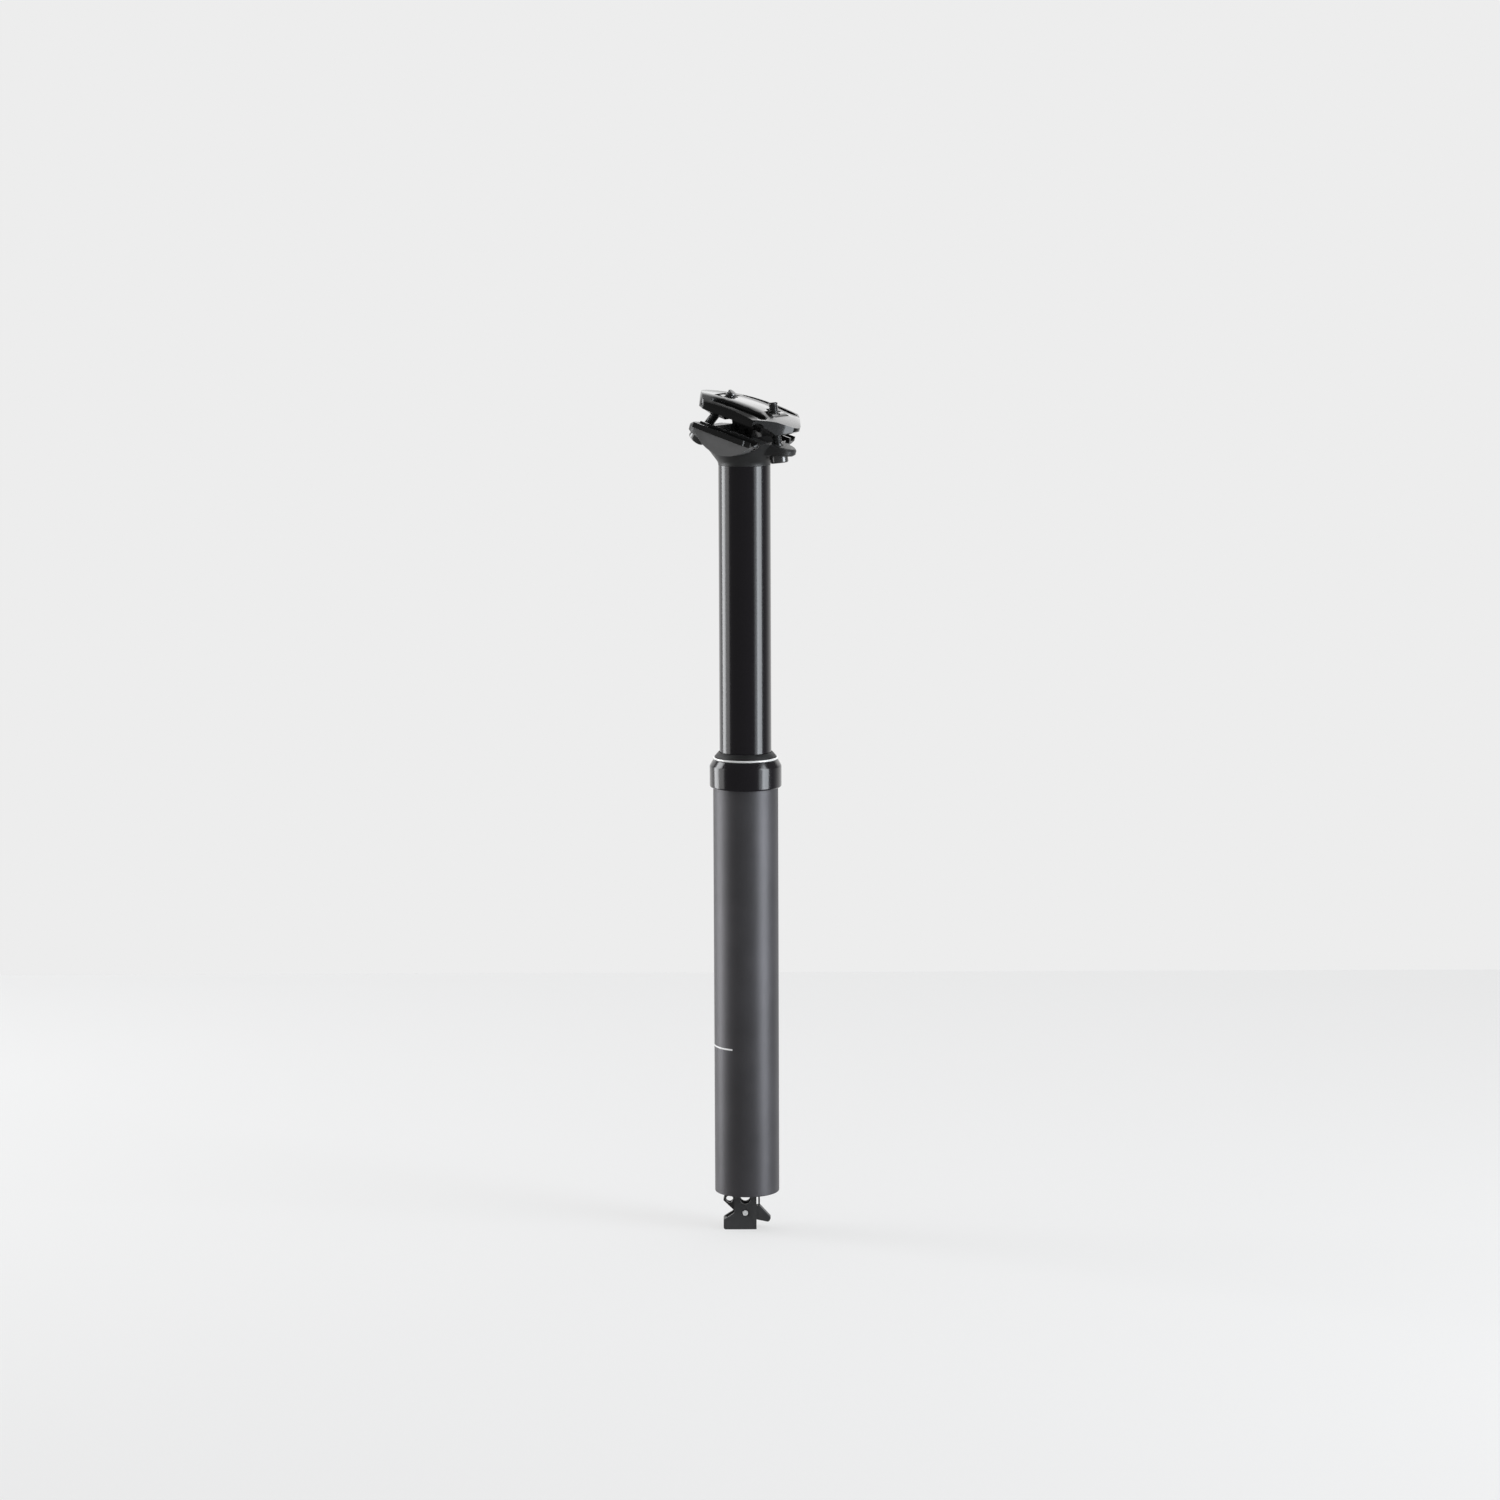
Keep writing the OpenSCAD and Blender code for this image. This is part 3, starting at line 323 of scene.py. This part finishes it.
def bolt_points(seat, tip):
    """Rows of a bolt from its socket to its tip.

    The socket's radius is the hexagon's half width over the cosine of the angle from the nearest
    flat's middle. On the shank the radius falls by the thread's depth times a triangle wave of
    height over pitch minus angle over a full turn. The wave is stretched and cut off, so crests and
    roots are flat, and it fades out at both ends."""
    a = np.linspace(0, 2 * np.pi, BOLT_CUTS, endpoint=False)[None, :]
    level = np.zeros_like(a)
    hexagon = 1.0 / np.cos((a + np.pi / 6) % (np.pi / 3) - np.pi / 6)
    under = -seat - WASHER_H
    top = under - HEAD_H
    rows = int((tip - under) / PITCH * ROWS_PER_TURN)
    shank_z = np.linspace(under, tip - TIP_BEVEL, rows)[:, None]
    wave = np.abs(((shank_z / PITCH - a / (2 * np.pi)) % 1.0) * 2 - 1)
    fade_in = np.clip((shank_z - under - PLAIN_LEN) / RUN_IN, 0, 1)
    fade_out = np.clip((tip - THREAD_END - shank_z) / RUN_OUT, 0, 1)
    groove = np.clip(wave * WAVE_STRETCH - CREST_CUT, 0, 1) * fade_in * fade_out
    r = np.concatenate([SOCKET[:, :1] * hexagon, CROWN[:, :1] + level, FOOT[:, :1] + level,
                        BOLT_R - THREAD_DEPTH * groove, TIP[:, :1] + level])
    z = level + np.concatenate([top + SOCKET[:, 1:], top + CROWN[:, 1:], under - FOOT[:, 1:],
                                shank_z, tip - TIP[:, 1:]])
    return np.stack([r * np.cos(a), r * np.sin(a), z], axis=-1)


for name, side, seat, tip in BOLTS:
    grid_piece(name + "_threaded", on_bolt(bolt_points(seat, tip), side), "upper_post",
               [name], loop_rows=False, sharp=28)
washer_profile = rounded(
    [(WASHER_IN_R, 0), (WASHER_R, 0), (WASHER_R, WASHER_H), (WASHER_IN_R, WASHER_H)], 0.25)
washer_rings = [
    on_bolt(turned_points(washer_profile - [0, seat + WASHER_H], BOLT_CUTS), side)
    for _, side, seat, _ in BOLTS]
grid_piece("bolt_washers_turned", washer_rings, "upper_post", ["bolt_washers"])

# %% [markdown]
# ## Plunger spring
# A small coil spring in the bottom cap pushes the release plunger back down. Its wire runs round
# the axis and climbs evenly. When the plunger lifts, the coil is pressed together towards its upper
# end. Here the coil is built at rest and given a mesh of its own.

# %% Plunger spring
SPRING_R, SPRING_WIRE_R, SPRING_TURNS = 5.0, 0.3, 2


def coil_points(low, high, steps=72, sides=14):
    """Rings of wire along a helix, with a point at each end to close it.

    The wire's middle lies at the spring's radius, its height climbs evenly with the angle, and the
    points of a ring lie round it, outwards by the cosine and upwards by the sine."""
    t = np.concatenate([[0], np.linspace(0, 1, steps), [1]])[:, None]
    wire = np.concatenate([[0], np.full(steps, SPRING_WIRE_R), [0]])[:, None]
    a = 2 * np.pi * SPRING_TURNS * t
    b = np.linspace(0, 2 * np.pi, sides, endpoint=False)[None, :]
    out = SPRING_R + wire * np.cos(b)
    z = low + SPRING_WIRE_R + (high - low - 2 * SPRING_WIRE_R) * t + wire * np.sin(b)
    return np.stack([out * np.cos(a), out * np.sin(a), z], axis=-1)


spring_low, spring_high = (corner.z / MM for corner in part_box("plunger_spring"))
coil = grid_piece("plunger_spring_coiled", coil_points(spring_low, spring_high), "outer_post",
                  ["plunger_spring"], loop_rows=False)
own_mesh(coil)

# %% [markdown]
# ## Forged pieces
# The head, the cradle, the clamp and the release gear are forged and milled, and their solids
# already have the right shape. A copy of such a solid is merged, flat neighbours are joined, and a
# narrow bevel breaks its edges, because a thin line of light along an edge makes it look real.

# %% Soften the forged pieces
SOLID_MERGE = 1e-6
FLAT_ANGLE, EDGE_ANGLE = np.radians(0.8), np.radians(28)


def softened(node, body, edge):
    """Copy of a solid with its edges broken by a bevel of the given width in millimetres."""
    mesh = nodes[node].data.copy()
    mesh.materials.clear()
    work = bmesh.new()
    work.from_mesh(mesh)
    bmesh.ops.remove_doubles(work, verts=work.verts, dist=SOLID_MERGE)
    bmesh.ops.dissolve_limit(work, angle_limit=FLAT_ANGLE, verts=work.verts, edges=work.edges)
    work.to_mesh(mesh)
    work.free()
    piece = dress(mesh, node + "_softened", body, [node])
    bevel = piece.modifiers.new("broken_edges", "BEVEL")
    bevel.width = edge * MM
    bevel.segments = 2
    bevel.limit_method = "ANGLE"
    bevel.angle_limit = EDGE_ANGLE


softened("saddle_head", "upper_post", 0.35)
softened("lower_cradle", "saddle_clamp", 0.3)
softened("upper_clamp", "saddle_clamp", 0.45)
softened("actuator_bracket", "outer_post", 0.15)
softened("release_lever", "release_lever", 0.15)

# %% [markdown]
# ## A wire round every sum
# A material is a graph of nodes, and arithmetic in it takes one node for each sum. A small class
# wraps a socket, so that sums can be written as sums, and one method adds any other node.

# %% Wires
class Wire:
    """A socket that can be added, taken away, multiplied and divided; a sum adds a Math node."""

    def __init__(self, tree, socket=None):
        self.tree, self.socket = tree, socket

    def node(self, kind, settings=None, inputs=None, out=0):
        """Adds a node of a kind, makes its settings, then fills or links its inputs."""
        made = self.tree.nodes.new(kind)
        for key, value in (settings or {}).items():
            setattr(made, key, value)
        for key, value in (inputs or {}).items():
            if isinstance(value, Wire):
                self.tree.links.new(value.socket, made.inputs[key])
            else:
                made.inputs[key].default_value = value
        return Wire(self.tree, made.outputs[out])

    def sum(self, operation, first, second):
        """One Math node with two values, each a wire or a number."""
        return self.node("ShaderNodeMath", {"operation": operation}, {0: first, 1: second})

    def __add__(self, other):
        return self.sum("ADD", self, other)

    def __radd__(self, other):
        return self.sum("ADD", other, self)

    def __sub__(self, other):
        return self.sum("SUBTRACT", self, other)

    def __rsub__(self, other):
        return self.sum("SUBTRACT", other, self)

    def __mul__(self, other):
        return self.sum("MULTIPLY", self, other)

    def __rmul__(self, other):
        return self.sum("MULTIPLY", other, self)

    def __truediv__(self, other):
        return self.sum("DIVIDE", self, other)

    def __rtruediv__(self, other):
        return self.sum("DIVIDE", other, self)

    def size(self):
        """The value without its sign."""
        return self.sum("ABSOLUTE", self, 0.0)

    def part(self, axis):
        """One part of a vector: 0 for x, 1 for y, 2 for z."""
        return self.node("ShaderNodeSeparateXYZ", {}, {0: self}, out=axis)

    def step(self, low, high):
        """Smooth step of this value: nought below low, one above high."""
        return self.node("ShaderNodeMapRange", {"interpolation_type": "SMOOTHSTEP"},
                         {"Value": self, "From Min": low, "From Max": high})


print("wire: + - * / size part step")

# %% [markdown]
# ## What every finish needs
# A look is a function that takes a pen, which adds nodes, and the piece's own coordinates in metres.
# It gives back what goes into the shader's sockets, by their names. A finish is the material that is
# made of a look.

# %% Finish helpers
def grey(value):
    """A neutral colour."""
    return (value, value, value, 1.0)


def blended(pen, mask, first, second):
    """Mixes two colours by a mask."""
    return pen.node("ShaderNodeMix", {"data_type": "RGBA"}, {0: mask, 6: first, 7: second}, out=2)


def specks(pen, place, scale, detail=2.0, squeeze=(1.0, 1.0, 1.0)):
    """Noise over the piece's coordinates, squeezed along an axis where it should run in lines."""
    where = pen.node("ShaderNodeMapping", {}, {"Vector": place, "Scale": squeeze})
    return pen.node("ShaderNodeTexNoise", {}, {"Vector": where, "Scale": scale, "Detail": detail})


def bumped(pen, height, strength, depth):
    """Normal of a surface that a height of one lifts by a depth in millimetres."""
    return pen.node("ShaderNodeBump", {},
                    {"Strength": strength, "Distance": depth * MM, "Height": height})


def finish(name, look):
    """Makes a material with one shader, whose sockets come from the look."""
    material = bpy.data.materials.new(name)
    material.use_nodes = True
    tree = material.node_tree
    tree.nodes.clear()
    pen = Wire(tree)
    place = pen.node("ShaderNodeTexCoord", out="Object")
    shader = pen.node("ShaderNodeBsdfPrincipled", {}, look(pen, place))
    end = tree.nodes.new("ShaderNodeOutputMaterial")
    tree.links.new(shader.socket, end.inputs["Surface"])
    print("finish:", name, "nodes:", len(tree.nodes))
    return material


print("helpers: grey, blended, specks, bumped, finish")

# %% [markdown]
# ## Finishes of the two tubes
# The outer tube is blasted and anodised: a fine grain scatters light into a soft band. A thin
# printed line runs round its back, and shows how far it goes into the frame. The stanchion and the
# collar are polished black, and only very fine lines round them break the mirror.

# %% Tube finishes
LINE_LOW, LINE_HIGH, LINE_END = (0.08052, 0.08058), (0.08140, 0.08146), (0.0005, 0.0007)


def tube_look(pen, place):
    """Satin dark grey with a white line, which is one between two heights and behind an x."""
    x, z = place.part(0), place.part(2)
    grain = specks(pen, place, 2600.0, 3.0)
    cloud = specks(pen, place, 45.0)
    line = z.step(*LINE_LOW) * (1.0 - z.step(*LINE_HIGH)) * (1.0 - x.step(*LINE_END))
    dark = blended(pen, cloud.step(0.3, 0.7), (0.090, 0.0875, 0.093, 1), (0.103, 0.100, 0.107, 1))
    return {
        "Base Color": blended(pen, line, dark, grey(0.82)),
        "Metallic": 0.6 - 0.6 * line,
        "Roughness": 0.40 + 0.07 * grain + 0.05 * cloud,
        "Normal": bumped(pen, grain, 0.25, 0.01),
    }


def mirror_black_look(pen, place):
    """Clear coat over black; the noise is drawn out across the axis, so that it runs in rings."""
    lines = specks(pen, place, 900.0, squeeze=(0.02, 0.02, 1.0))
    cloud = specks(pen, place, 60.0)
    return {
        "Base Color": blended(pen, cloud, (0.0062, 0.0052, 0.0068, 1), (0.0074, 0.0064, 0.0082, 1)),
        "Roughness": 0.17 + 0.015 * lines + 0.02 * cloud,
        "Normal": bumped(pen, lines, 0.01, 0.001),
        "Coat Weight": 0.4,
        "Coat Roughness": 0.12,
    }


tube_satin = finish("tube_satin_anodised", tube_look)
gloss_black = finish("gloss_black_anodised", mirror_black_look)

# %% [markdown]
# ## Finishes of the head and the clamp
# The head and the cradle are blasted and anodised like the tube, and the lip of the cradle is
# polished. The upper clamp is polished all over. Its top is a shallow dome, and a bump rounds it
# further across the rails, so the light falls off on both sides of the middle.

# %% Head and clamp finishes
LIP_HEIGHT = (-0.0052, -0.0049)
CROWN_START, CROWN_FALL = 6.0, 0.020
NOSE_FADE, WALL_FACING = (0.010, 0.026), (0.3, 0.6)


def forged_look(tone, sheen, metal, grain_scale=1500.0):
    """Blasted surface: a grain that roughens it and a slow cloud that shifts its tone."""
    def look(pen, place):
        grain = specks(pen, place, grain_scale, 3.0)
        cloud = specks(pen, place, 90.0)
        return {
            "Base Color": blended(pen, cloud.step(0.3, 0.7), grey(tone * 0.88), grey(tone * 1.12)),
            "Metallic": metal,
            "Roughness": sheen + 0.10 * grain + 0.06 * cloud,
            "Normal": bumped(pen, grain, 0.3, 0.012),
        }
    return look


def lipped_look(pen, place):
    """The forged look, with a polished black lip above a plane across the tilted cradle.

    A point's height over the cradle's own origin is z times the cosine of the tilt plus x times
    its sine, less the same sum for that origin."""
    tone, sheen, metal = 0.13, 0.40, 0.35
    sockets = forged_look(tone, sheen, metal)(pen, place)
    c, s = float(np.cos(CLAMP_TILT)), float(np.sin(CLAMP_TILT))
    height = place.part(2) * c + place.part(0) * s - CLAMP_Z * MM * c
    lip = height.step(*LIP_HEIGHT)
    sockets["Base Color"] = blended(pen, lip, sockets["Base Color"], grey(0.008))
    sockets["Metallic"] = metal - metal * lip
    sockets["Roughness"] = sockets["Roughness"] * (1.0 - 0.55 * lip)
    return sockets


def polished_look(pen, place):
    """Polished black with a slow cloud of wear in its gloss.

    The top is crowned across the rails: outside a middle strip the height falls by a share of the
    square of the way out to the side, in millimetres. The crown fades out towards the nose, but not
    on the upright walls, which face sideways."""
    cloud = specks(pen, place, 120.0, 3.0)
    facing = pen.node("ShaderNodeNewGeometry", out="True Normal")
    wall = facing.part(1).size().step(*WALL_FACING)
    fade = place.part(0).step(*NOSE_FADE) * (1.0 - wall)
    out = pen.sum("MAXIMUM", place.part(1).size() / MM - CROWN_START, 0.0)
    height = 0.0005 * cloud - CROWN_FALL * out * out * (1.0 - fade)
    return {
        "Base Color": blended(pen, cloud, grey(0.006), grey(0.010)),
        "Roughness": 0.10 + 0.06 * cloud,
        "Normal": bumped(pen, height, 1.0, 1.0),
        "Coat Weight": 0.1,
    }


head_satin = finish("head_satin_anodised", forged_look(0.034, 0.34, 0.35))
cradle_satin = finish("cradle_satin_anodised", lipped_look)
clamp_black = finish("clamp_polished_black", polished_look)

# %% [markdown]
# ## Finishes of the small pieces
# The release gear is a duller black, and the bolts are black steel with an oiled surface. Rod,
# spring and inner tubes are ground or turned, so fine lines run round them. Rubber has a bloom.

# %% Small finishes
def turned_look(colour, sheen, metal=1.0):
    """Turned or ground metal: fine lines across the axis of the post."""
    def look(pen, place):
        lines = specks(pen, place, 1400.0, squeeze=(0.05, 0.05, 1.0))
        darker = tuple(0.85 * c for c in colour[:3]) + (1.0,)
        return {
            "Base Color": blended(pen, lines, darker, colour),
            "Metallic": metal,
            "Roughness": sheen + 0.12 * lines,
            "Normal": bumped(pen, lines, 0.15, 0.006),
        }
    return look


def rubber_look(pen, place):
    """Black rubber: one noise lightens, roughens and lifts the same spots."""
    bloom = specks(pen, place, 300.0, 3.0)
    return {
        "Base Color": blended(pen, bloom, grey(0.008), grey(0.014)),
        "Roughness": 0.46 + 0.14 * bloom,
        "Normal": bumped(pen, bloom, 0.2, 0.02),
    }


gear_black = finish("gear_satin_black", forged_look(0.058, 0.40, 0.2))
black_steel = finish("bolt_black_steel", forged_look(0.14, 0.12, 0.85, 2500.0))
dark_alloy = finish("dark_alloy_turned", turned_look((0.10, 0.10, 0.105, 1), 0.32))
bright_steel = finish("bright_ground_steel", turned_look((0.70, 0.70, 0.72, 1), 0.18))
bare_alloy = finish("bare_turned_alloy", turned_look((0.60, 0.60, 0.60, 1), 0.28))
brass = finish("turned_brass", turned_look((0.72, 0.55, 0.22, 1), 0.24))
bright_wire = finish("bright_drawn_wire", turned_look((0.90, 0.90, 0.89, 1), 0.25, 0.25))
rubber = finish("black_rubber", rubber_look)
bushing = finish("bushing_liner", forged_look(0.11, 0.5, 0.0, 800.0))

# %% [markdown]
# ## Who wears what
# Each piece, and each solid that stays in sight or inside, gets one of these finishes. The solids
# inside the tubes aren't seen at rest, but they are still finished, so a cut-away view looks right.

# %% Hand out the finishes
wardrobe = {
    tube_satin: ["outer_tube", "outer_tube_turned"],
    gloss_black: ["seal_collar", "seal_collar_turned", "stanchion", "stanchion_turned"],
    clamp_black: ["upper_clamp", "upper_clamp_softened"],
    rubber: ["wiper_seal", "wiper_lip", "collar_o_ring", "piston_seal", "rod_seal",
             "floating_piston_seal"],
    bright_wire: ["wiper_ring", "bright_wire", "pivot_rivet"],
    head_satin: ["saddle_head", "saddle_head_softened"],
    cradle_satin: ["lower_cradle", "lower_cradle_softened"],
    gear_black: ["actuator_bracket", "actuator_bracket_softened", "release_lever",
                 "release_lever_softened"],
    black_steel: ["front_bolt", "front_bolt_threaded", "rear_bolt", "rear_bolt_threaded",
                  "bolt_washers", "bolt_washers_turned", "bracket_screws", "front_barrel_nut",
                  "rear_barrel_nut"],
    dark_alloy: ["bottom_cap", "cylinder_retainer", "cylinder_gland", "cylinder_cap",
                 "release_plunger"],
    bright_steel: ["piston_rod", "rod_nut", "plunger_spring", "plunger_spring_coiled",
                   "release_rod", "bushing_clip"],
    bare_alloy: ["piston", "gas_cylinder", "floating_piston"],
    brass: ["guide_keys", "valve_poppet"],
    bushing: ["upper_bushing", "lower_bushing", "top_out_spacer"],
}
for material, names in wardrobe.items():
    for name in names:
        worn = (pieces.get(name) or nodes[name]).data.materials
        worn.clear()
        worn.append(material)
print("dressed:", sum(len(names) for names in wardrobe.values()))

# %% [markdown]
# ## Floor
# The post stands on a pale table top. Its far edge is square to the camera, so that it makes one
# straight line across the picture. The floor is a dull grey that glows a little, and more where it
# is looked at, so it is as pale as the wall without more light on the post. It isn't mirrored and
# casts no shadow, so the long lamps reach below it and their stripes run right down the tube.

# %% Floor
FLOOR_HALF, FLOOR_NEAR, FLOOR_FAR = 1.6, -1.3, 0.71
FLOOR_ROWS, FLOOR_COLS = 9, 7
FLOOR_GLOW, FLOOR_SEEN, FLOOR_MIRRORED = 0.20, 0.405, 0.08

floor_z = min(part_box(name)[0].z for name in nodes)
ahead = np.array([-back[0], -back[1], 0.0]) / np.hypot(back[0], back[1])
floor_u, floor_v = np.meshgrid(np.linspace(-FLOOR_HALF, FLOOR_HALF, FLOOR_ROWS),
                               np.linspace(FLOOR_NEAR, FLOOR_FAR, FLOOR_COLS), indexing="ij")
floor_points = floor_u[..., None] * right + floor_v[..., None] * ahead + [0, 0, floor_z]
floor_faces = grid_faces(FLOOR_ROWS, FLOOR_COLS, False, False)[:, ::-1]
floor_mesh = bpy.data.meshes.new("pale_floor")
floor_mesh.from_pydata(floor_points.reshape(-1, 3).tolist(), [], floor_faces.tolist())
floor = bpy.data.objects.new("pale_floor", floor_mesh)
bpy.context.scene.collection.objects.link(floor)
floor.visible_glossy = False
floor.visible_shadow = False


def ray(pen, kind):
    """One where the light path is of a kind, such as Camera, and nought elsewhere."""
    return pen.node("ShaderNodeLightPath", out=f"Is {kind} Ray")


def floor_look(pen, place):
    """Dull pale grey; its glow is a small share, with a larger one for rays that look at it."""
    cloud = specks(pen, place, 3.0)
    seen = FLOOR_SEEN * ray(pen, "Camera") + FLOOR_SEEN * ray(pen, "Transmission")
    return {
        "Base Color": blended(pen, cloud, grey(0.235), grey(0.245)),
        "Roughness": 0.5 + 0.1 * cloud,
        "Specular IOR Level": 0.0,
        "Emission Color": FLOOR_GLOW + seen + FLOOR_MIRRORED * ray(pen, "Glossy"),
        "Emission Strength": 1.0,
    }


floor_mesh.materials.append(finish("pale_floor", floor_look))

# %% [markdown]
# ## Lamps
# Long soft lamps stand left and right of the post and draw the two bright stripes on the stanchion.
# A weaker one beside each of them widens its stripe into a soft band on the satin tube. A wide lamp
# above fills the floor and gives the shadow, and isn't mirrored.

# %% Lamps
LAMP_AIM_Z = 0.2
COOL_LEFT, COOL_RIGHT = (0.97, 0.985, 1.0), (0.90, 0.95, 1.0)


def lamp(name, turn, height, distance, size, power, colour=(1, 1, 1)):
    """A soft lamp at an angle in degrees round the post from the camera, aimed at the post."""
    data = bpy.data.lights.new(name, "AREA")
    data.shape = "RECTANGLE"
    data.size, data.size_y = size
    data.energy = power
    data.color = colour
    made = bpy.data.objects.new(name, data)
    bpy.context.scene.collection.objects.link(made)
    angle = TURN + np.radians(turn)
    spot = np.array([np.sin(angle) * distance, -np.cos(angle) * distance, height])
    axis = spot - [0, 0, LAMP_AIM_Z]
    axis /= np.linalg.norm(axis)
    side = np.cross([0, 0, 1], axis)
    side /= np.linalg.norm(side)
    matrix = np.eye(4)
    matrix[:3] = np.stack([side, np.cross(axis, side), axis, spot], axis=1)
    made.matrix_world = [tuple(row) for row in matrix.T]
    return made


lamp("left_lamp", -107, 0.35, 1.15, (0.46, 1.6), 12.5, COOL_LEFT)
lamp("left_fill", -84, 0.35, 1.60, (0.60, 1.5), 4.5)
lamp("right_lamp", 67, 0.33, 1.15, (0.50, 1.7), 15.0, COOL_RIGHT)
lamp("right_fill", 54, 0.33, 1.60, (0.60, 1.5), 4.5, COOL_RIGHT)
top_lamp = lamp("top_lamp", 180, 1.6, 0.55, (1.8, 1.8), 8.0)
top_lamp.visible_glossy = False

# %% [markdown]
# ## World
# The world is the pale wall for rays that look at it. Matt surfaces get a dimmer, even light from
# it. Mirrored, it is the wall ahead of the camera, and a dark room on the camera's side, which keeps
# black pieces black. Above the horizon the wall gets narrower, and higher up it is brighter, as a
# studio's wall is lit.

# %% World
WALL, ROOM_LIGHT, ROOM_DARK, WALL_TOP = 0.847, 0.40, 0.12, 1.4
WIDE_FACING, NARROW_FACING = (0.1, 0.85), (0.55, 0.92)
NARROWING, TOP_RISE = (0.0, 0.15), (0.15, 0.3)

world = bpy.data.worlds.new("pale_wall")
bpy.context.scene.world = world
world.use_nodes = True
world.node_tree.nodes.clear()
pen = Wire(world.node_tree)
direction = pen.node("ShaderNodeTexCoord", out="Generated")
facing = pen.node("ShaderNodeVectorMath", {"operation": "DOT_PRODUCT"},
                  {0: direction, 1: tuple(ahead)}, out="Value")
height = direction.part(2)
wide, narrow = facing.step(*WIDE_FACING), facing.step(*NARROW_FACING)
wall = wide + (narrow - wide) * height.step(*NARROWING)
mirrored = ROOM_DARK + (WALL - ROOM_DARK) * wall + WALL_TOP * narrow * height.step(*TOP_RISE)
lit = ROOM_LIGHT + (mirrored - ROOM_LIGHT) * ray(pen, "Glossy")
shown = lit + (WALL - lit) * (ray(pen, "Camera") + ray(pen, "Transmission"))
sky = pen.node("ShaderNodeBackground", {}, {"Color": grey(1.0), "Strength": shown})
world_end = world.node_tree.nodes.new("ShaderNodeOutputWorld")
world.node_tree.links.new(sky.socket, world_end.inputs["Surface"])
bpy.context.scene.view_settings.view_transform = "Standard"
print("world nodes:", len(world.node_tree.nodes))
